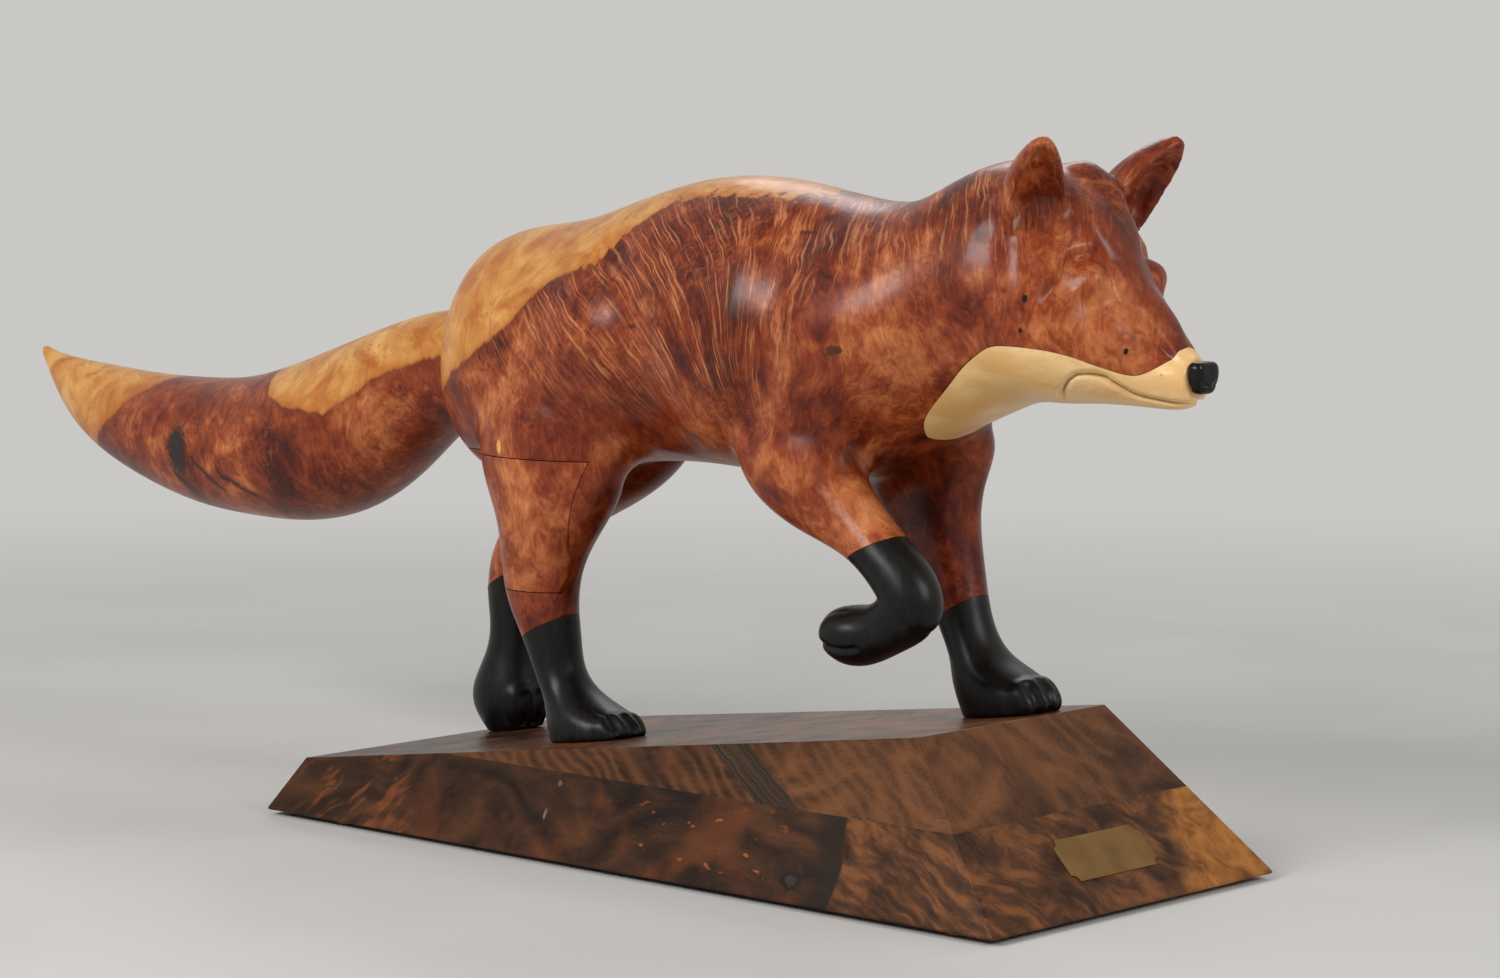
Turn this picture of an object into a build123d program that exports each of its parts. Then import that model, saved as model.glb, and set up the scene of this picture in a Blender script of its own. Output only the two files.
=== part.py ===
from build123d import *

import os
from math import atan, cos, radians, sin
from typing import NamedTuple

# Fox figurine: a walking fox carved in burl, with a joined tail, a pale throat, black paws and a
# black nose, bolted by three paws to a wedge of two walnut layers that stands on four brass feet.
# Millimetres. +X is the way the fox faces, +Y is its left and +Z is up. The origin lies on the
# standing plane, under the middle of the whole length.

# Base
BASE_X = 224.0                  # middle of the base, ahead of the middle of the whole length
BASE_LENGTH = 760.0
BASE_WIDTH = 330.0
BASE_REAR_HEIGHT = 43.0
BASE_FRONT_HEIGHT = 121.0
BASE_REAR_INSET = 27.0          # how far the top edge stands in from the bottom edge
BASE_FRONT_INSET = 117.0
BASE_SIDE_LEAN = 25.0           # degrees that the long sides lean in from upright
SLAB_THICKNESS = 62.5           # lower layer, up to the level glue line
BASE_EDGE = 1.5                 # softening of the base's edges

# Brass feet, nailed into the underside
FOOT_HEIGHT = 4.0
FOOT_RADIUS = 11.0
FOOT_ROUNDING = 2.5
FOOT_REAR_INSET = 83.0
FOOT_FRONT_INSET = 44.0
FOOT_SIDE_INSET = 19.0
NAIL_RADIUS = 1.6
NAIL_LENGTH = 15.0
NAIL_POINT = 4.0

# Bare brass plate on the sloping front
PLATE_WIDTH = 100.0
PLATE_HEIGHT = 36.0
PLATE_THICKNESS = 1.0
PLATE_SCALLOP = 6.0
PLATE_RISE = 29.5               # lower edge of the plate, up the slope from the bottom edge

# Hidden joinery
GLUE_GAP = 0.2                  # round a dowel or a stud, all round
END_GAP = 1.0                   # beyond the end of a dowel or a stud
STUD_RADIUS = 5.0
STUD_BORE_GAP = 0.4             # round a stud where it passes through the base
STUD_TAIL = 2.0                 # stud end that shows beyond its nut
THREAD_GAP = 0.15
WASHER_RADIUS = 12.0
WASHER_THICKNESS = 2.0
NUT_FLATS = 17.0
NUT_HEIGHT = 8.0
COUNTERBORE_RADIUS = 15.0
COUNTERBORE_DEPTH = 19.0
TAIL_DOWEL_RADIUS = 12.0
TAIL_DOWEL_LENGTH = 120.0
WRIST_DOWEL_RADIUS = 5.0
WRIST_DOWEL_LENGTH = 36.0
NOSE_PEG_RADIUS = 3.5
NOSE_PEG_LENGTH = 24.0
NOSE_PEG_IN_NOSE = 7.0

# Nose
NOSE_HEIGHT = 290.0             # middle of the nose above the ground
NOSE_LENGTH = 11.0
NOSE_HALF_WIDTH = 13.0
NOSE_HALF_HEIGHT = 11.5
NOSE_CHIN = 0.55                # half width below, as a share of the half width above
NOSE_CORNER = 5.0               # rounding of the outline's corners
NOSE_ROUND = 4.0                # rounding of the front edge

# Let-in block on the right hind leg
INLAY_DEPTH_Y = -48.0           # the block's inner face
INLAY_TOP = 206.0
INLAY_BOTTOM = 100.0
INLAY_FRONT_TOP = 130.0
INLAY_FRONT_BOTTOM = 86.0

# Ears
EAR_BASE = (536.0, 48.0, 394.0)
EAR_TIP = (577.0, 80.0, 456.0)
EAR_FACING = {-1: (0.88, -0.47), 1: (0.99, 0.1)}     # the way each hollow looks, right and left
EAR_HOLLOW_SHIFT = 5.0          # how far the hollow is set forwards of the ear's middle

# Hollow curve where a leg runs into the trunk
LEG_BLEND = 26.0
LIFTED_LEG_BLEND = 14.0

# Clefts between the toes
CLEFT_WIDTH = 2.8
CLEFT_DEPTH = 4.0
CLEFT_PITCH = 14.0
CLEFT_TOP = 20.0                # cross-sections below this height carry the full depth
CLEFT_FADE = 0.5                # how far the core stands out where the clefts have ended
CLEFT_REACH = 60.0
CLEFT_SPAN = 120.0


class Ring(NamedTuple):
    """A cross-section of the trunk, upright across the fox, measured from the ground."""

    station: float
    top: float
    bottom: float
    half_width: float
    widest: float


class LegRing(NamedTuple):
    """A level cross-section of a leg, its height taken from the paw's own standing place."""

    x: float
    y: float
    height: float
    half_length: float
    half_width: float


class TurnedRing(NamedTuple):
    """A cross-section of the tail or the lifted leg, turned by tilt degrees about the Y axis."""

    x: float
    y: float
    height: float
    half_depth: float
    half_width: float
    tilt: float


class EarRing(NamedTuple):
    """A cross-section of an ear, a share of the way up it."""

    share: float
    half_width: float
    front: float
    back: float


class Stance(NamedTuple):
    """Where a standing leg is joined to its paw, and the line of the stud that holds it."""

    stand_x: float
    cuff_x: float
    cuff_height: float
    cuff_rise: float
    stud_foot: tuple[float, float]
    stud_top: tuple[float, float, float]


TRUNK = (
    Ring(-68, 322, 216, 46, 266),
    Ring(-48, 362, 190, 68, 272),
    Ring(-11, 381, 178, 85, 277),
    Ring(54, 390, 188, 92, 288),
    Ring(134, 410, 202, 96, 306),
    Ring(204, 425, 204, 100, 311),
    Ring(284, 422, 199, 104, 309),
    Ring(354, 410, 203, 100, 306),
    Ring(414, 413, 230, 90, 318),
    Ring(469, 436, 253, 79, 338),
    Ring(509, 441, 266, 79, 334),
    Ring(539, 436, 267, 79, 322),
    Ring(564, 412, 268, 69, 312),
    Ring(590, 371, 268, 49, 304),
    Ring(614, 341, 267, 30, 298),
    Ring(634, 317, 267, 21, 292),
    Ring(648, 303, 272, 16, 288),
)

TAIL = (
    TurnedRing(-68, 0, 268, 46, 43, 0),
    TurnedRing(-116, 0, 262, 50, 47, 14),
    TurnedRing(-176, 0, 233, 63, 57, 12),
    TurnedRing(-241, 0, 206, 70, 62, 8),
    TurnedRing(-306, 0, 192, 66, 61, 4),
    TurnedRing(-376, 0, 187, 59, 57, 0),
    TurnedRing(-446, 0, 191, 53, 51, -4),
    TurnedRing(-511, 0, 201, 45, 42, -10),
    TurnedRing(-571, 0, 216, 35, 30, -16),
    TurnedRing(-621, 0, 237, 19, 16, -22),
    TurnedRing(-659, 0, 261, 4, 4, -28),
)

RIGHT_HIND = (
    LegRing(52, -44, 316, 70, 34),
    LegRing(64, -54, 266, 78, 33),
    LegRing(70, -60, 216, 71, 36),
    LegRing(70, -60, 174, 56, 32),
    LegRing(58, -58, 134, 38, 27),
    LegRing(56, -56, 104, 32, 24),
    LegRing(64, -55, 76, 25, 22),
    LegRing(74, -54, 48, 21, 21),
    LegRing(92, -54, 29, 29, 25),
    LegRing(107, -54, 16, 41, 30),
    LegRing(112, -54, -2, 42, 30),
    LegRing(112, -54, -20, 40, 28),
)

LEFT_HIND = (
    LegRing(52, 44, 342, 70, 34),
    LegRing(44, 54, 292, 78, 33),
    LegRing(28, 60, 242, 71, 36),
    LegRing(-16, 58, 197, 54, 32),
    LegRing(-66, 54, 162, 36, 27),
    LegRing(-86, 52, 130, 26, 23),
    LegRing(-89, 52, 97, 22, 21),
    LegRing(-92, 52, 64, 24, 23),
    LegRing(-96, 52, 34, 33, 29),
    LegRing(-93, 52, 10, 29, 26),
    LegRing(-90, 52, -8, 20, 18),
)

LEFT_FORE = (
    LegRing(346, 42, 255, 76, 34),
    LegRing(352, 50, 210, 67, 36),
    LegRing(356, 54, 170, 54, 32),
    LegRing(369, 54, 133, 37, 27),
    LegRing(386, 53, 97, 26, 23),
    LegRing(398, 52, 67, 22, 21),
    LegRing(413, 52, 43, 25, 23),
    LegRing(432, 52, 25, 40, 29),
    LegRing(440, 52, 7, 42, 29),
    LegRing(440, 52, -14, 40, 28),
)

LIFTED_FORE = (
    TurnedRing(317, -44, 282, 62, 34, -90),
    TurnedRing(322, -52, 240, 57, 32, -80),
    TurnedRing(339, -57, 208, 47, 32, -62),
    TurnedRing(364, -58, 185, 34, 27, -56),
    TurnedRing(389, -58, 169, 26, 24, -58),
    TurnedRing(411, -58, 154, 23, 23, -63),
    TurnedRing(433, -58, 132, 25, 23, -80),
    TurnedRing(438, -58, 117, 24, 22, -104),
    TurnedRing(432, -58, 107, 15, 15, -124),
)

# The paw that is folded back below the lifted wrist
FOLDED_PAW = (
    TurnedRing(440, -58, 124, 15, 15, -120),
    TurnedRing(432, -58, 111, 22.5, 23, -138),
    TurnedRing(409, -58, 98, 21, 25, -152),
    TurnedRing(384, -58, 92, 23, 27, -162),
    TurnedRing(367, -58, 90, 17, 20, -165),
    TurnedRing(360, -58, 90, 8, 10, -168),
)

EAR_RINGS = (
    EarRing(0.0, 18, 18, 22),
    EarRing(0.3, 24, 15, 27),
    EarRing(0.6, 19, 11, 23),
    EarRing(0.85, 11, 7, 14),
    EarRing(0.97, 5, 3.5, 7),
)

EAR_HOLLOW = (
    EarRing(-0.05, 13, 34, 8),
    EarRing(0.3, 19.5, 30, 10),
    EarRing(0.6, 14.5, 24, 8),
    EarRing(0.88, 5, 16, 3),
)

# Raised strip from the crown to the muzzle
BRIDGE = (
    Ring(545, 431, 380, 31, 421),
    Ring(567, 409, 360, 30, 400),
    Ring(582, 388, 345, 22, 380),
    Ring(592, 370, 335, 14, 362),
    Ring(608, 350, 320, 11, 342),
    Ring(631, 323, 300, 9.5, 315),
    Ring(648, 305, 290, 8.5, 298),
)

RIGHT_HIND_STANCE = Stance(112.0, 68.0, 86.0, 26.0, (100.0, -54.0), (62.0, -57.0, 126.0))
LEFT_HIND_STANCE = Stance(-92.0, -86.0, 130.0, 26.0, (-90.0, 52.0), (-86.0, 52.0, 146.0))
LEFT_FORE_STANCE = Stance(438.0, 395.0, 75.0, 33.0, (425.0, 52.0), (383.0, 53.0, 108.0))
WRIST_CUFF = (407.0, -58.0, 158.5)
WRIST_CUFF_RISE = 26.0

# Seam between the burl and the pale throat, from the bib's tip to the top of the muzzle
BIB_TIP = (424.0, 238.0)
THROAT_SEAM = (BIB_TIP, (468, 277), (522, 309), (581, 301), (612, 292), (632, 298), (646, 326))
THROAT_FLOOR = 150.0            # below every part of the throat

# Worked out from the sizes above
base_rear = BASE_X - BASE_LENGTH / 2
base_front = BASE_X + BASE_LENGTH / 2
top_rear = base_rear + BASE_REAR_INSET
top_front = base_front - BASE_FRONT_INSET
top_slope = (BASE_FRONT_HEIGHT - BASE_REAR_HEIGHT) / (top_front - top_rear)
glue_level = FOOT_HEIGHT + SLAB_THICKNESS
seat_station = TRUNK[0].station
muzzle_station = TRUNK[-1].station


def top_height(x: float) -> float:
    """Height of the base's sloping top at a place along the fox."""
    return FOOT_HEIGHT + BASE_REAR_HEIGHT + top_slope * (x - top_rear)


ground = top_height(BASE_X)
top_plane = Plane(
    origin=(BASE_X, 0, ground),
    x_dir=(cos(atan(top_slope)), 0, sin(atan(top_slope))),
    z_dir=(-sin(atan(top_slope)), 0, cos(atan(top_slope))),
)


def oval(plane: Plane, half_width: float, half_up: float, half_down: float) -> Sketch:
    """A closed oval on a plane, from an upper and a lower half ellipse."""
    with BuildSketch(plane) as ring:
        with BuildLine():
            EllipticalCenterArc((0, 0), half_width, half_up, 0, arc_size=180)
            EllipticalCenterArc((0, 0), half_width, half_down, 180, arc_size=180)
        make_face()
    return ring.sketch


def turned_plane(ring: TurnedRing) -> Plane:
    """The plane of a turned cross-section, with its depth along the local Y."""
    tilt = radians(ring.tilt)
    return Plane(
        origin=(ring.x, ring.y, ground + ring.height),
        x_dir=(0, 1, 0),
        z_dir=(cos(tilt), 0, sin(tilt)),
    )


def cuff_plane(x: float, y: float, height: float, rise: float) -> Plane:
    """A slanted cuff, rising towards the front, its normal towards the body."""
    slant = radians(rise)
    return Plane(origin=(x, y, height), x_dir=(cos(slant), 0, sin(slant)), z_dir=(-sin(slant), 0, cos(slant)))


def leg_loft(rings: tuple[LegRing, ...], stand: float) -> Part:
    """A whole standing leg, from inside the trunk to below its sole."""
    places = [Plane(origin=(ring.x, ring.y, stand + ring.height)) for ring in rings]
    with BuildPart() as leg:
        loft([oval(at, r.half_length, r.half_width, r.half_width) for at, r in zip(places, rings)])
    return leg.part


def turned_loft(rings: tuple[TurnedRing, ...]) -> Part:
    """A loft through turned cross-sections."""
    with BuildPart() as limb:
        loft([oval(turned_plane(r), r.half_width, r.half_depth, r.half_depth) for r in rings])
    return limb.part


def bar(axis: Plane, start: float, end: float, radius: float) -> Part:
    """A round bar along a plane's normal, between two distances from its origin."""
    with BuildPart() as rod:
        with BuildSketch(axis.offset(start)):
            Circle(radius)
        extrude(amount=end - start)
    return rod.part


def toe_clefts(core: Part, start: Vector, reach: float) -> Part:
    """Three thin upright cuts across the toes, as deep as the core lies below the skin."""
    middle = start + Vector(reach / 2, 0, 0)
    with BuildPart() as cuts:
        for step in (-1, 0, 1):
            with Locations(middle + Vector(0, step * CLEFT_PITCH, 0)):
                Box(abs(reach), CLEFT_WIDTH, CLEFT_SPAN)
        add(core, mode=Mode.SUBTRACT)
    return cuts.part


def stud_axis(stance: Stance) -> Plane:
    """The line of a stud: its origin on the base's underside, its normal up into the leg."""
    stand = top_height(stance.stand_x)
    foot = Vector(*stance.stud_foot, stand)
    top = Vector(*stance.stud_top) + Vector(0, 0, stand)
    run = (top - foot).normalized()
    underside = foot + run * ((FOOT_HEIGHT - foot.Z) / run.Z)
    return Plane(origin=underside, x_dir=(0, 1, 0), z_dir=run)


def stud_length(stance: Stance) -> float:
    """Length of a stud's line from the base's underside to the stud's upper end."""
    axis = stud_axis(stance)
    return (Vector(*stance.stud_top) + Vector(0, 0, top_height(stance.stand_x)) - axis.origin).length


def trunk_plane(ring: Ring) -> Plane:
    """The upright plane of a trunk cross-section, its origin on the widest line."""
    return Plane(origin=(ring.station, 0, ground + ring.widest), x_dir=(0, 1, 0), z_dir=(1, 0, 0))


def ear_loft(side: int, rings: tuple[EarRing, ...], forward: float) -> Part:
    """An ear, or its hollow, on the left (1) or right (-1), set forwards along its facing."""
    base = Vector(EAR_BASE[0], side * EAR_BASE[1], ground + EAR_BASE[2])
    tip = Vector(EAR_TIP[0], side * EAR_TIP[1], ground + EAR_TIP[2])
    run = (tip - base).normalized()
    width = run.cross(Vector(*EAR_FACING[side], 0)).normalized()
    facing = width.cross(run)
    planes = [Plane(base + (tip - base) * ring.share + facing * forward, width, run) for ring in rings]
    with BuildPart() as ear:
        loft([oval(at, r.half_width, r.back, r.front) for at, r in zip(planes, rings)])
    return ear.part


def upright_loft(rings: tuple[Ring, ...]) -> Part:
    """A loft along the fox through upright cross-sections."""
    with BuildPart() as run:
        loft([oval(trunk_plane(r), r.half_width, r.top - r.widest, r.widest - r.bottom) for r in rings])
    return run.part


# Trunk, neck and head in one run, with a bridge strip and hollowed ears
with BuildPart() as trunk:
    add(upright_loft(TRUNK))
    add(upright_loft(BRIDGE))

with BuildPart() as ears:
    for side in (-1, 1):
        add(ear_loft(side, EAR_RINGS, 0))
        add(ear_loft(side, EAR_HOLLOW, EAR_HOLLOW_SHIFT), mode=Mode.SUBTRACT)

# Standing legs, parted at their slanted cuffs
STANDING = {
    "right_hind": (RIGHT_HIND, RIGHT_HIND_STANCE),
    "left_hind": (LEFT_HIND, LEFT_HIND_STANCE),
    "left_fore": (LEFT_FORE, LEFT_FORE_STANCE),
}
nut_face = COUNTERBORE_DEPTH - WASHER_THICKNESS - NUT_HEIGHT
upper_legs = []
pieces = {}
for name, (rings, stance) in STANDING.items():
    stand = top_height(stance.stand_x)
    whole_leg = leg_loft(rings, stand)
    cuff = cuff_plane(stance.cuff_x, rings[0].y, stand + stance.cuff_height, stance.cuff_rise)
    axis = stud_axis(stance)
    reach = stud_length(stance)
    bore = bar(axis, 0, reach + END_GAP, STUD_RADIUS + GLUE_GAP)

    with BuildPart() as upper_leg:
        add(whole_leg)
        split(bisect_by=cuff, keep=Keep.TOP)
    upper_legs.append((upper_leg.part, bore, LEG_BLEND))

    sinks = [CLEFT_DEPTH if ring.height < CLEFT_TOP else -CLEFT_FADE for ring in rings]
    core_rings = tuple(
        ring._replace(half_length=ring.half_length - sink, half_width=ring.half_width - sink)
        for ring, sink in zip(rings, sinks)
    )
    toes = Vector(stance.stand_x, rings[-1].y, stand)
    clefts = toe_clefts(leg_loft(core_rings, stand), toes, CLEFT_REACH)

    with BuildPart() as paw:
        add(whole_leg)
        add(clefts, mode=Mode.SUBTRACT)
        split(bisect_by=cuff, keep=Keep.BOTTOM)
        split(bisect_by=top_plane, keep=Keep.TOP)
        add(bore, mode=Mode.SUBTRACT)
    pieces["paw_" + name] = paw.part
    pieces["stud_" + name] = bar(axis, nut_face - STUD_TAIL, reach, STUD_RADIUS)

# Lifted right foreleg, with its paw folded back below the wrist
wrist_cuff = cuff_plane(WRIST_CUFF[0], WRIST_CUFF[1], ground + WRIST_CUFF[2], WRIST_CUFF_RISE)
wrist_bore = bar(
    wrist_cuff,
    -WRIST_DOWEL_LENGTH / 2 - END_GAP,
    WRIST_DOWEL_LENGTH / 2 + END_GAP,
    WRIST_DOWEL_RADIUS + GLUE_GAP,
)
lifted_leg = turned_loft(LIFTED_FORE)
with BuildPart() as lifted_upper:
    add(lifted_leg)
    split(bisect_by=wrist_cuff, keep=Keep.TOP)
upper_legs.append((lifted_upper.part, wrist_bore, LIFTED_LEG_BLEND))

last = FOLDED_PAW[-1]
folded_core = tuple(
    ring._replace(half_depth=ring.half_depth - CLEFT_DEPTH, half_width=ring.half_width - CLEFT_DEPTH)
    for ring in FOLDED_PAW[2:]
)
lifted_toes = Vector(last.x + CLEFT_REACH / 2, last.y, ground + last.height)
with BuildPart() as lifted_paw:
    add(lifted_leg)
    split(bisect_by=wrist_cuff, keep=Keep.BOTTOM)
    add(turned_loft(FOLDED_PAW))
    add(toe_clefts(turned_loft(folded_core), lifted_toes, -CLEFT_REACH), mode=Mode.SUBTRACT)
    add(wrist_bore, mode=Mode.SUBTRACT)
pieces["paw_right_fore"] = lifted_paw.part
pieces["wrist_dowel"] = bar(wrist_cuff, -WRIST_DOWEL_LENGTH / 2, WRIST_DOWEL_LENGTH / 2, WRIST_DOWEL_RADIUS)

# Pale throat, from the bib to the muzzle, below the seam
past_nose = muzzle_station + NOSE_LENGTH
with BuildPart() as below_seam:
    with BuildSketch(Plane.XZ.offset(-BASE_WIDTH / 2)):
        with BuildLine():
            seam = Spline(*[(x, ground + z) for x, z in THROAT_SEAM])
            Polyline(
                seam @ 1,
                (past_nose, (seam @ 1).Y),
                (past_nose, THROAT_FLOOR),
                (BIB_TIP[0], THROAT_FLOOR),
                seam @ 0,
            )
        make_face()
    extrude(amount=BASE_WIDTH)

nose_axis = Plane(origin=(muzzle_station, 0, ground + NOSE_HEIGHT), x_dir=(0, 1, 0), z_dir=(1, 0, 0))
peg_in_muzzle = NOSE_PEG_LENGTH - NOSE_PEG_IN_NOSE
peg_bore = bar(nose_axis, -peg_in_muzzle - END_GAP, NOSE_PEG_IN_NOSE + END_GAP, NOSE_PEG_RADIUS + GLUE_GAP)
with BuildPart() as throat:
    add(trunk.part)
    add(below_seam.part, mode=Mode.INTERSECT)
    add(peg_bore, mode=Mode.SUBTRACT)
pieces["throat"] = throat.part

# Nose, seated on the flat end of the muzzle: broad and flat above, narrower below
nose_corners = (
    (-NOSE_HALF_WIDTH, NOSE_HALF_HEIGHT),
    (NOSE_HALF_WIDTH, NOSE_HALF_HEIGHT),
    (NOSE_HALF_WIDTH, 0),
    (NOSE_HALF_WIDTH * NOSE_CHIN, -NOSE_HALF_HEIGHT),
    (-NOSE_HALF_WIDTH * NOSE_CHIN, -NOSE_HALF_HEIGHT),
    (-NOSE_HALF_WIDTH, 0),
)
with BuildPart() as nose:
    with BuildSketch(nose_axis) as nose_outline:
        with BuildLine():
            Polyline(*nose_corners, close=True)
        make_face()
        fillet(nose_outline.vertices(), NOSE_CORNER)
    extrude(amount=NOSE_LENGTH)
    fillet(nose.faces().sort_by(Axis.X)[-1].edges(), NOSE_ROUND)
    add(peg_bore, mode=Mode.SUBTRACT)
pieces["nose"] = nose.part
pieces["nose_peg"] = bar(nose_axis, -peg_in_muzzle, NOSE_PEG_IN_NOSE, NOSE_PEG_RADIUS)

# Block let into the outer side of the right hind leg
with BuildPart() as inlay_space:
    with BuildSketch(Plane.XZ.offset(-INLAY_DEPTH_Y)):
        with BuildLine():
            Polyline(
                (seat_station, ground + INLAY_TOP),
                (INLAY_FRONT_TOP, ground + INLAY_TOP),
                (INLAY_FRONT_BOTTOM, ground + INLAY_BOTTOM),
                (seat_station, ground + INLAY_BOTTOM),
                close=True,
            )
        make_face()
    extrude(amount=BASE_WIDTH / 2)

right_hind_upper, right_hind_bore, _ = upper_legs[0]
with BuildPart() as inlay:
    add(right_hind_upper)
    add(inlay_space.part, mode=Mode.INTERSECT)
    add(right_hind_bore, mode=Mode.SUBTRACT)
pieces["hind_leg_inlay"] = inlay.part

# Tail, butted against the flat seat on the rump
seat_axis = Plane(origin=(seat_station, 0, ground + TAIL[0].height), x_dir=(0, 1, 0), z_dir=(1, 0, 0))
tail_bore = bar(
    seat_axis,
    -TAIL_DOWEL_LENGTH / 2 - END_GAP,
    TAIL_DOWEL_LENGTH / 2 + END_GAP,
    TAIL_DOWEL_RADIUS + GLUE_GAP,
)
with BuildPart() as tail:
    add(turned_loft(TAIL))
    add(tail_bore, mode=Mode.SUBTRACT)
pieces["tail"] = tail.part
pieces["tail_dowel"] = bar(seat_axis, -TAIL_DOWEL_LENGTH / 2, TAIL_DOWEL_LENGTH / 2, TAIL_DOWEL_RADIUS)

# Body: the carved burl, less what is let into it
with BuildPart() as body:
    add(trunk.part)
    add(ears.part)
    for upper_leg, bore, blend in upper_legs:
        add(upper_leg)
        fillet(body.edges(Select.NEW), blend)
    add(below_seam.part, mode=Mode.SUBTRACT)
    add(inlay_space.part, mode=Mode.SUBTRACT)
    for upper_leg, bore, blend in upper_legs:
        add(bore, mode=Mode.SUBTRACT)
    add(tail_bore, mode=Mode.SUBTRACT)
pieces["body"] = body.part

# Base: one wedge, parted at the level glue line
with BuildPart() as wedge:
    with BuildSketch(Plane.XZ.offset(-BASE_WIDTH / 2)):
        with BuildLine():
            Polyline(
                (base_rear, FOOT_HEIGHT),
                (base_front, FOOT_HEIGHT),
                (top_front, FOOT_HEIGHT + BASE_FRONT_HEIGHT),
                (top_rear, FOOT_HEIGHT + BASE_REAR_HEIGHT),
                close=True,
            )
        make_face()
    extrude(amount=BASE_WIDTH)
    lean = radians(BASE_SIDE_LEAN)
    for side in (-1, 1):
        edge = (BASE_X, side * BASE_WIDTH / 2, FOOT_HEIGHT)
        split(bisect_by=Plane(edge, (1, 0, 0), (0, side * cos(lean), sin(lean))), keep=Keep.BOTTOM)
    fillet(wedge.edges(), BASE_EDGE)

glue_plane = Plane.XY.offset(glue_level)
foot_places = [
    (x, side * (BASE_WIDTH / 2 - FOOT_SIDE_INSET), end + "_" + hand)
    for end, x in (("front", base_front - FOOT_FRONT_INSET), ("rear", base_rear + FOOT_REAR_INSET))
    for side, hand in ((-1, "right"), (1, "left"))
]
stud_axes = [stud_axis(stance) for _, stance in STANDING.values()]
with BuildPart() as slab:
    add(wedge.part)
    split(bisect_by=glue_plane, keep=Keep.BOTTOM)
    for axis in stud_axes:
        add(bar(axis, -COUNTERBORE_DEPTH, COUNTERBORE_DEPTH, COUNTERBORE_RADIUS), mode=Mode.SUBTRACT)
        add(bar(axis, 0, BASE_FRONT_HEIGHT * 2, STUD_RADIUS + STUD_BORE_GAP), mode=Mode.SUBTRACT)
    for x, y, _ in foot_places:
        nail_hole = Plane(origin=(x, y, FOOT_HEIGHT))
        add(bar(nail_hole, 0, NAIL_LENGTH + END_GAP, NAIL_RADIUS + GLUE_GAP), mode=Mode.SUBTRACT)
pieces["base_slab"] = slab.part

with BuildPart() as upper_wedge:
    add(wedge.part)
    split(bisect_by=glue_plane, keep=Keep.TOP)
    for axis in stud_axes:
        add(bar(axis, 0, BASE_FRONT_HEIGHT * 2, STUD_RADIUS + STUD_BORE_GAP), mode=Mode.SUBTRACT)
pieces["base_wedge"] = upper_wedge.part

# Washers and nuts, sunk in the underside
with BuildPart() as washers:
    for axis in stud_axes:
        with BuildSketch(axis.offset(COUNTERBORE_DEPTH - WASHER_THICKNESS)):
            Circle(WASHER_RADIUS)
            Circle(STUD_RADIUS + STUD_BORE_GAP, mode=Mode.SUBTRACT)
        extrude(amount=WASHER_THICKNESS)
pieces["base_washers"] = washers.part

with BuildPart() as nuts:
    for axis in stud_axes:
        with BuildSketch(axis.offset(nut_face)):
            RegularPolygon(NUT_FLATS / 2, 6, major_radius=False)
            Circle(STUD_RADIUS + THREAD_GAP, mode=Mode.SUBTRACT)
        extrude(amount=NUT_HEIGHT)
pieces["base_nuts"] = nuts.part

# Bare plate on the sloping front
front_run = Vector(-BASE_FRONT_INSET, 0, BASE_FRONT_HEIGHT).normalized()
plate_middle = Vector(base_front, 0, FOOT_HEIGHT) + front_run * (PLATE_RISE + PLATE_HEIGHT / 2)
front_face = Plane(origin=plate_middle, x_dir=(0, 1, 0), z_dir=(front_run.Z, 0, -front_run.X))
with BuildPart() as plate:
    with BuildSketch(front_face):
        Rectangle(PLATE_WIDTH, PLATE_HEIGHT)
        with GridLocations(PLATE_WIDTH, PLATE_HEIGHT, 2, 2):
            Circle(PLATE_SCALLOP, mode=Mode.SUBTRACT)
    extrude(amount=PLATE_THICKNESS)
pieces["name_plate"] = plate.part

# Brass feet: a rounded button and its nail, turned in one piece
for x, y, corner in foot_places:
    with BuildPart() as foot:
        with BuildSketch(Plane(origin=(x, y, 0), x_dir=(1, 0, 0), z_dir=(0, -1, 0))):
            with BuildLine():
                FilletPolyline(
                    (0, 0),
                    (FOOT_RADIUS, 0),
                    (FOOT_RADIUS, FOOT_HEIGHT),
                    radius=FOOT_ROUNDING,
                )
                Polyline(
                    (FOOT_RADIUS, FOOT_HEIGHT),
                    (NAIL_RADIUS, FOOT_HEIGHT),
                    (NAIL_RADIUS, FOOT_HEIGHT + NAIL_LENGTH - NAIL_POINT),
                    (0, FOOT_HEIGHT + NAIL_LENGTH),
                    (0, 0),
                )
            make_face()
        revolve(axis=Axis((x, y, 0), (0, 0, 1)))
    pieces["foot_" + corner] = foot.part

os.makedirs("parts", exist_ok=True)
for name, piece in pieces.items():
    piece.label = name
    export_step(piece, "parts/" + name + ".step")
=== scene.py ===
"""Looks of the fox figurine: burl, pale throat, black paws and walnut base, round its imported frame."""

import logging
import math
from dataclasses import dataclass
from enum import Enum
from typing import Any, Callable, Iterable, Sequence

import bmesh
import bpy
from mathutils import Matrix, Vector
from mathutils.bvhtree import BVHTree
from mathutils.kdtree import KDTree


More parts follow.
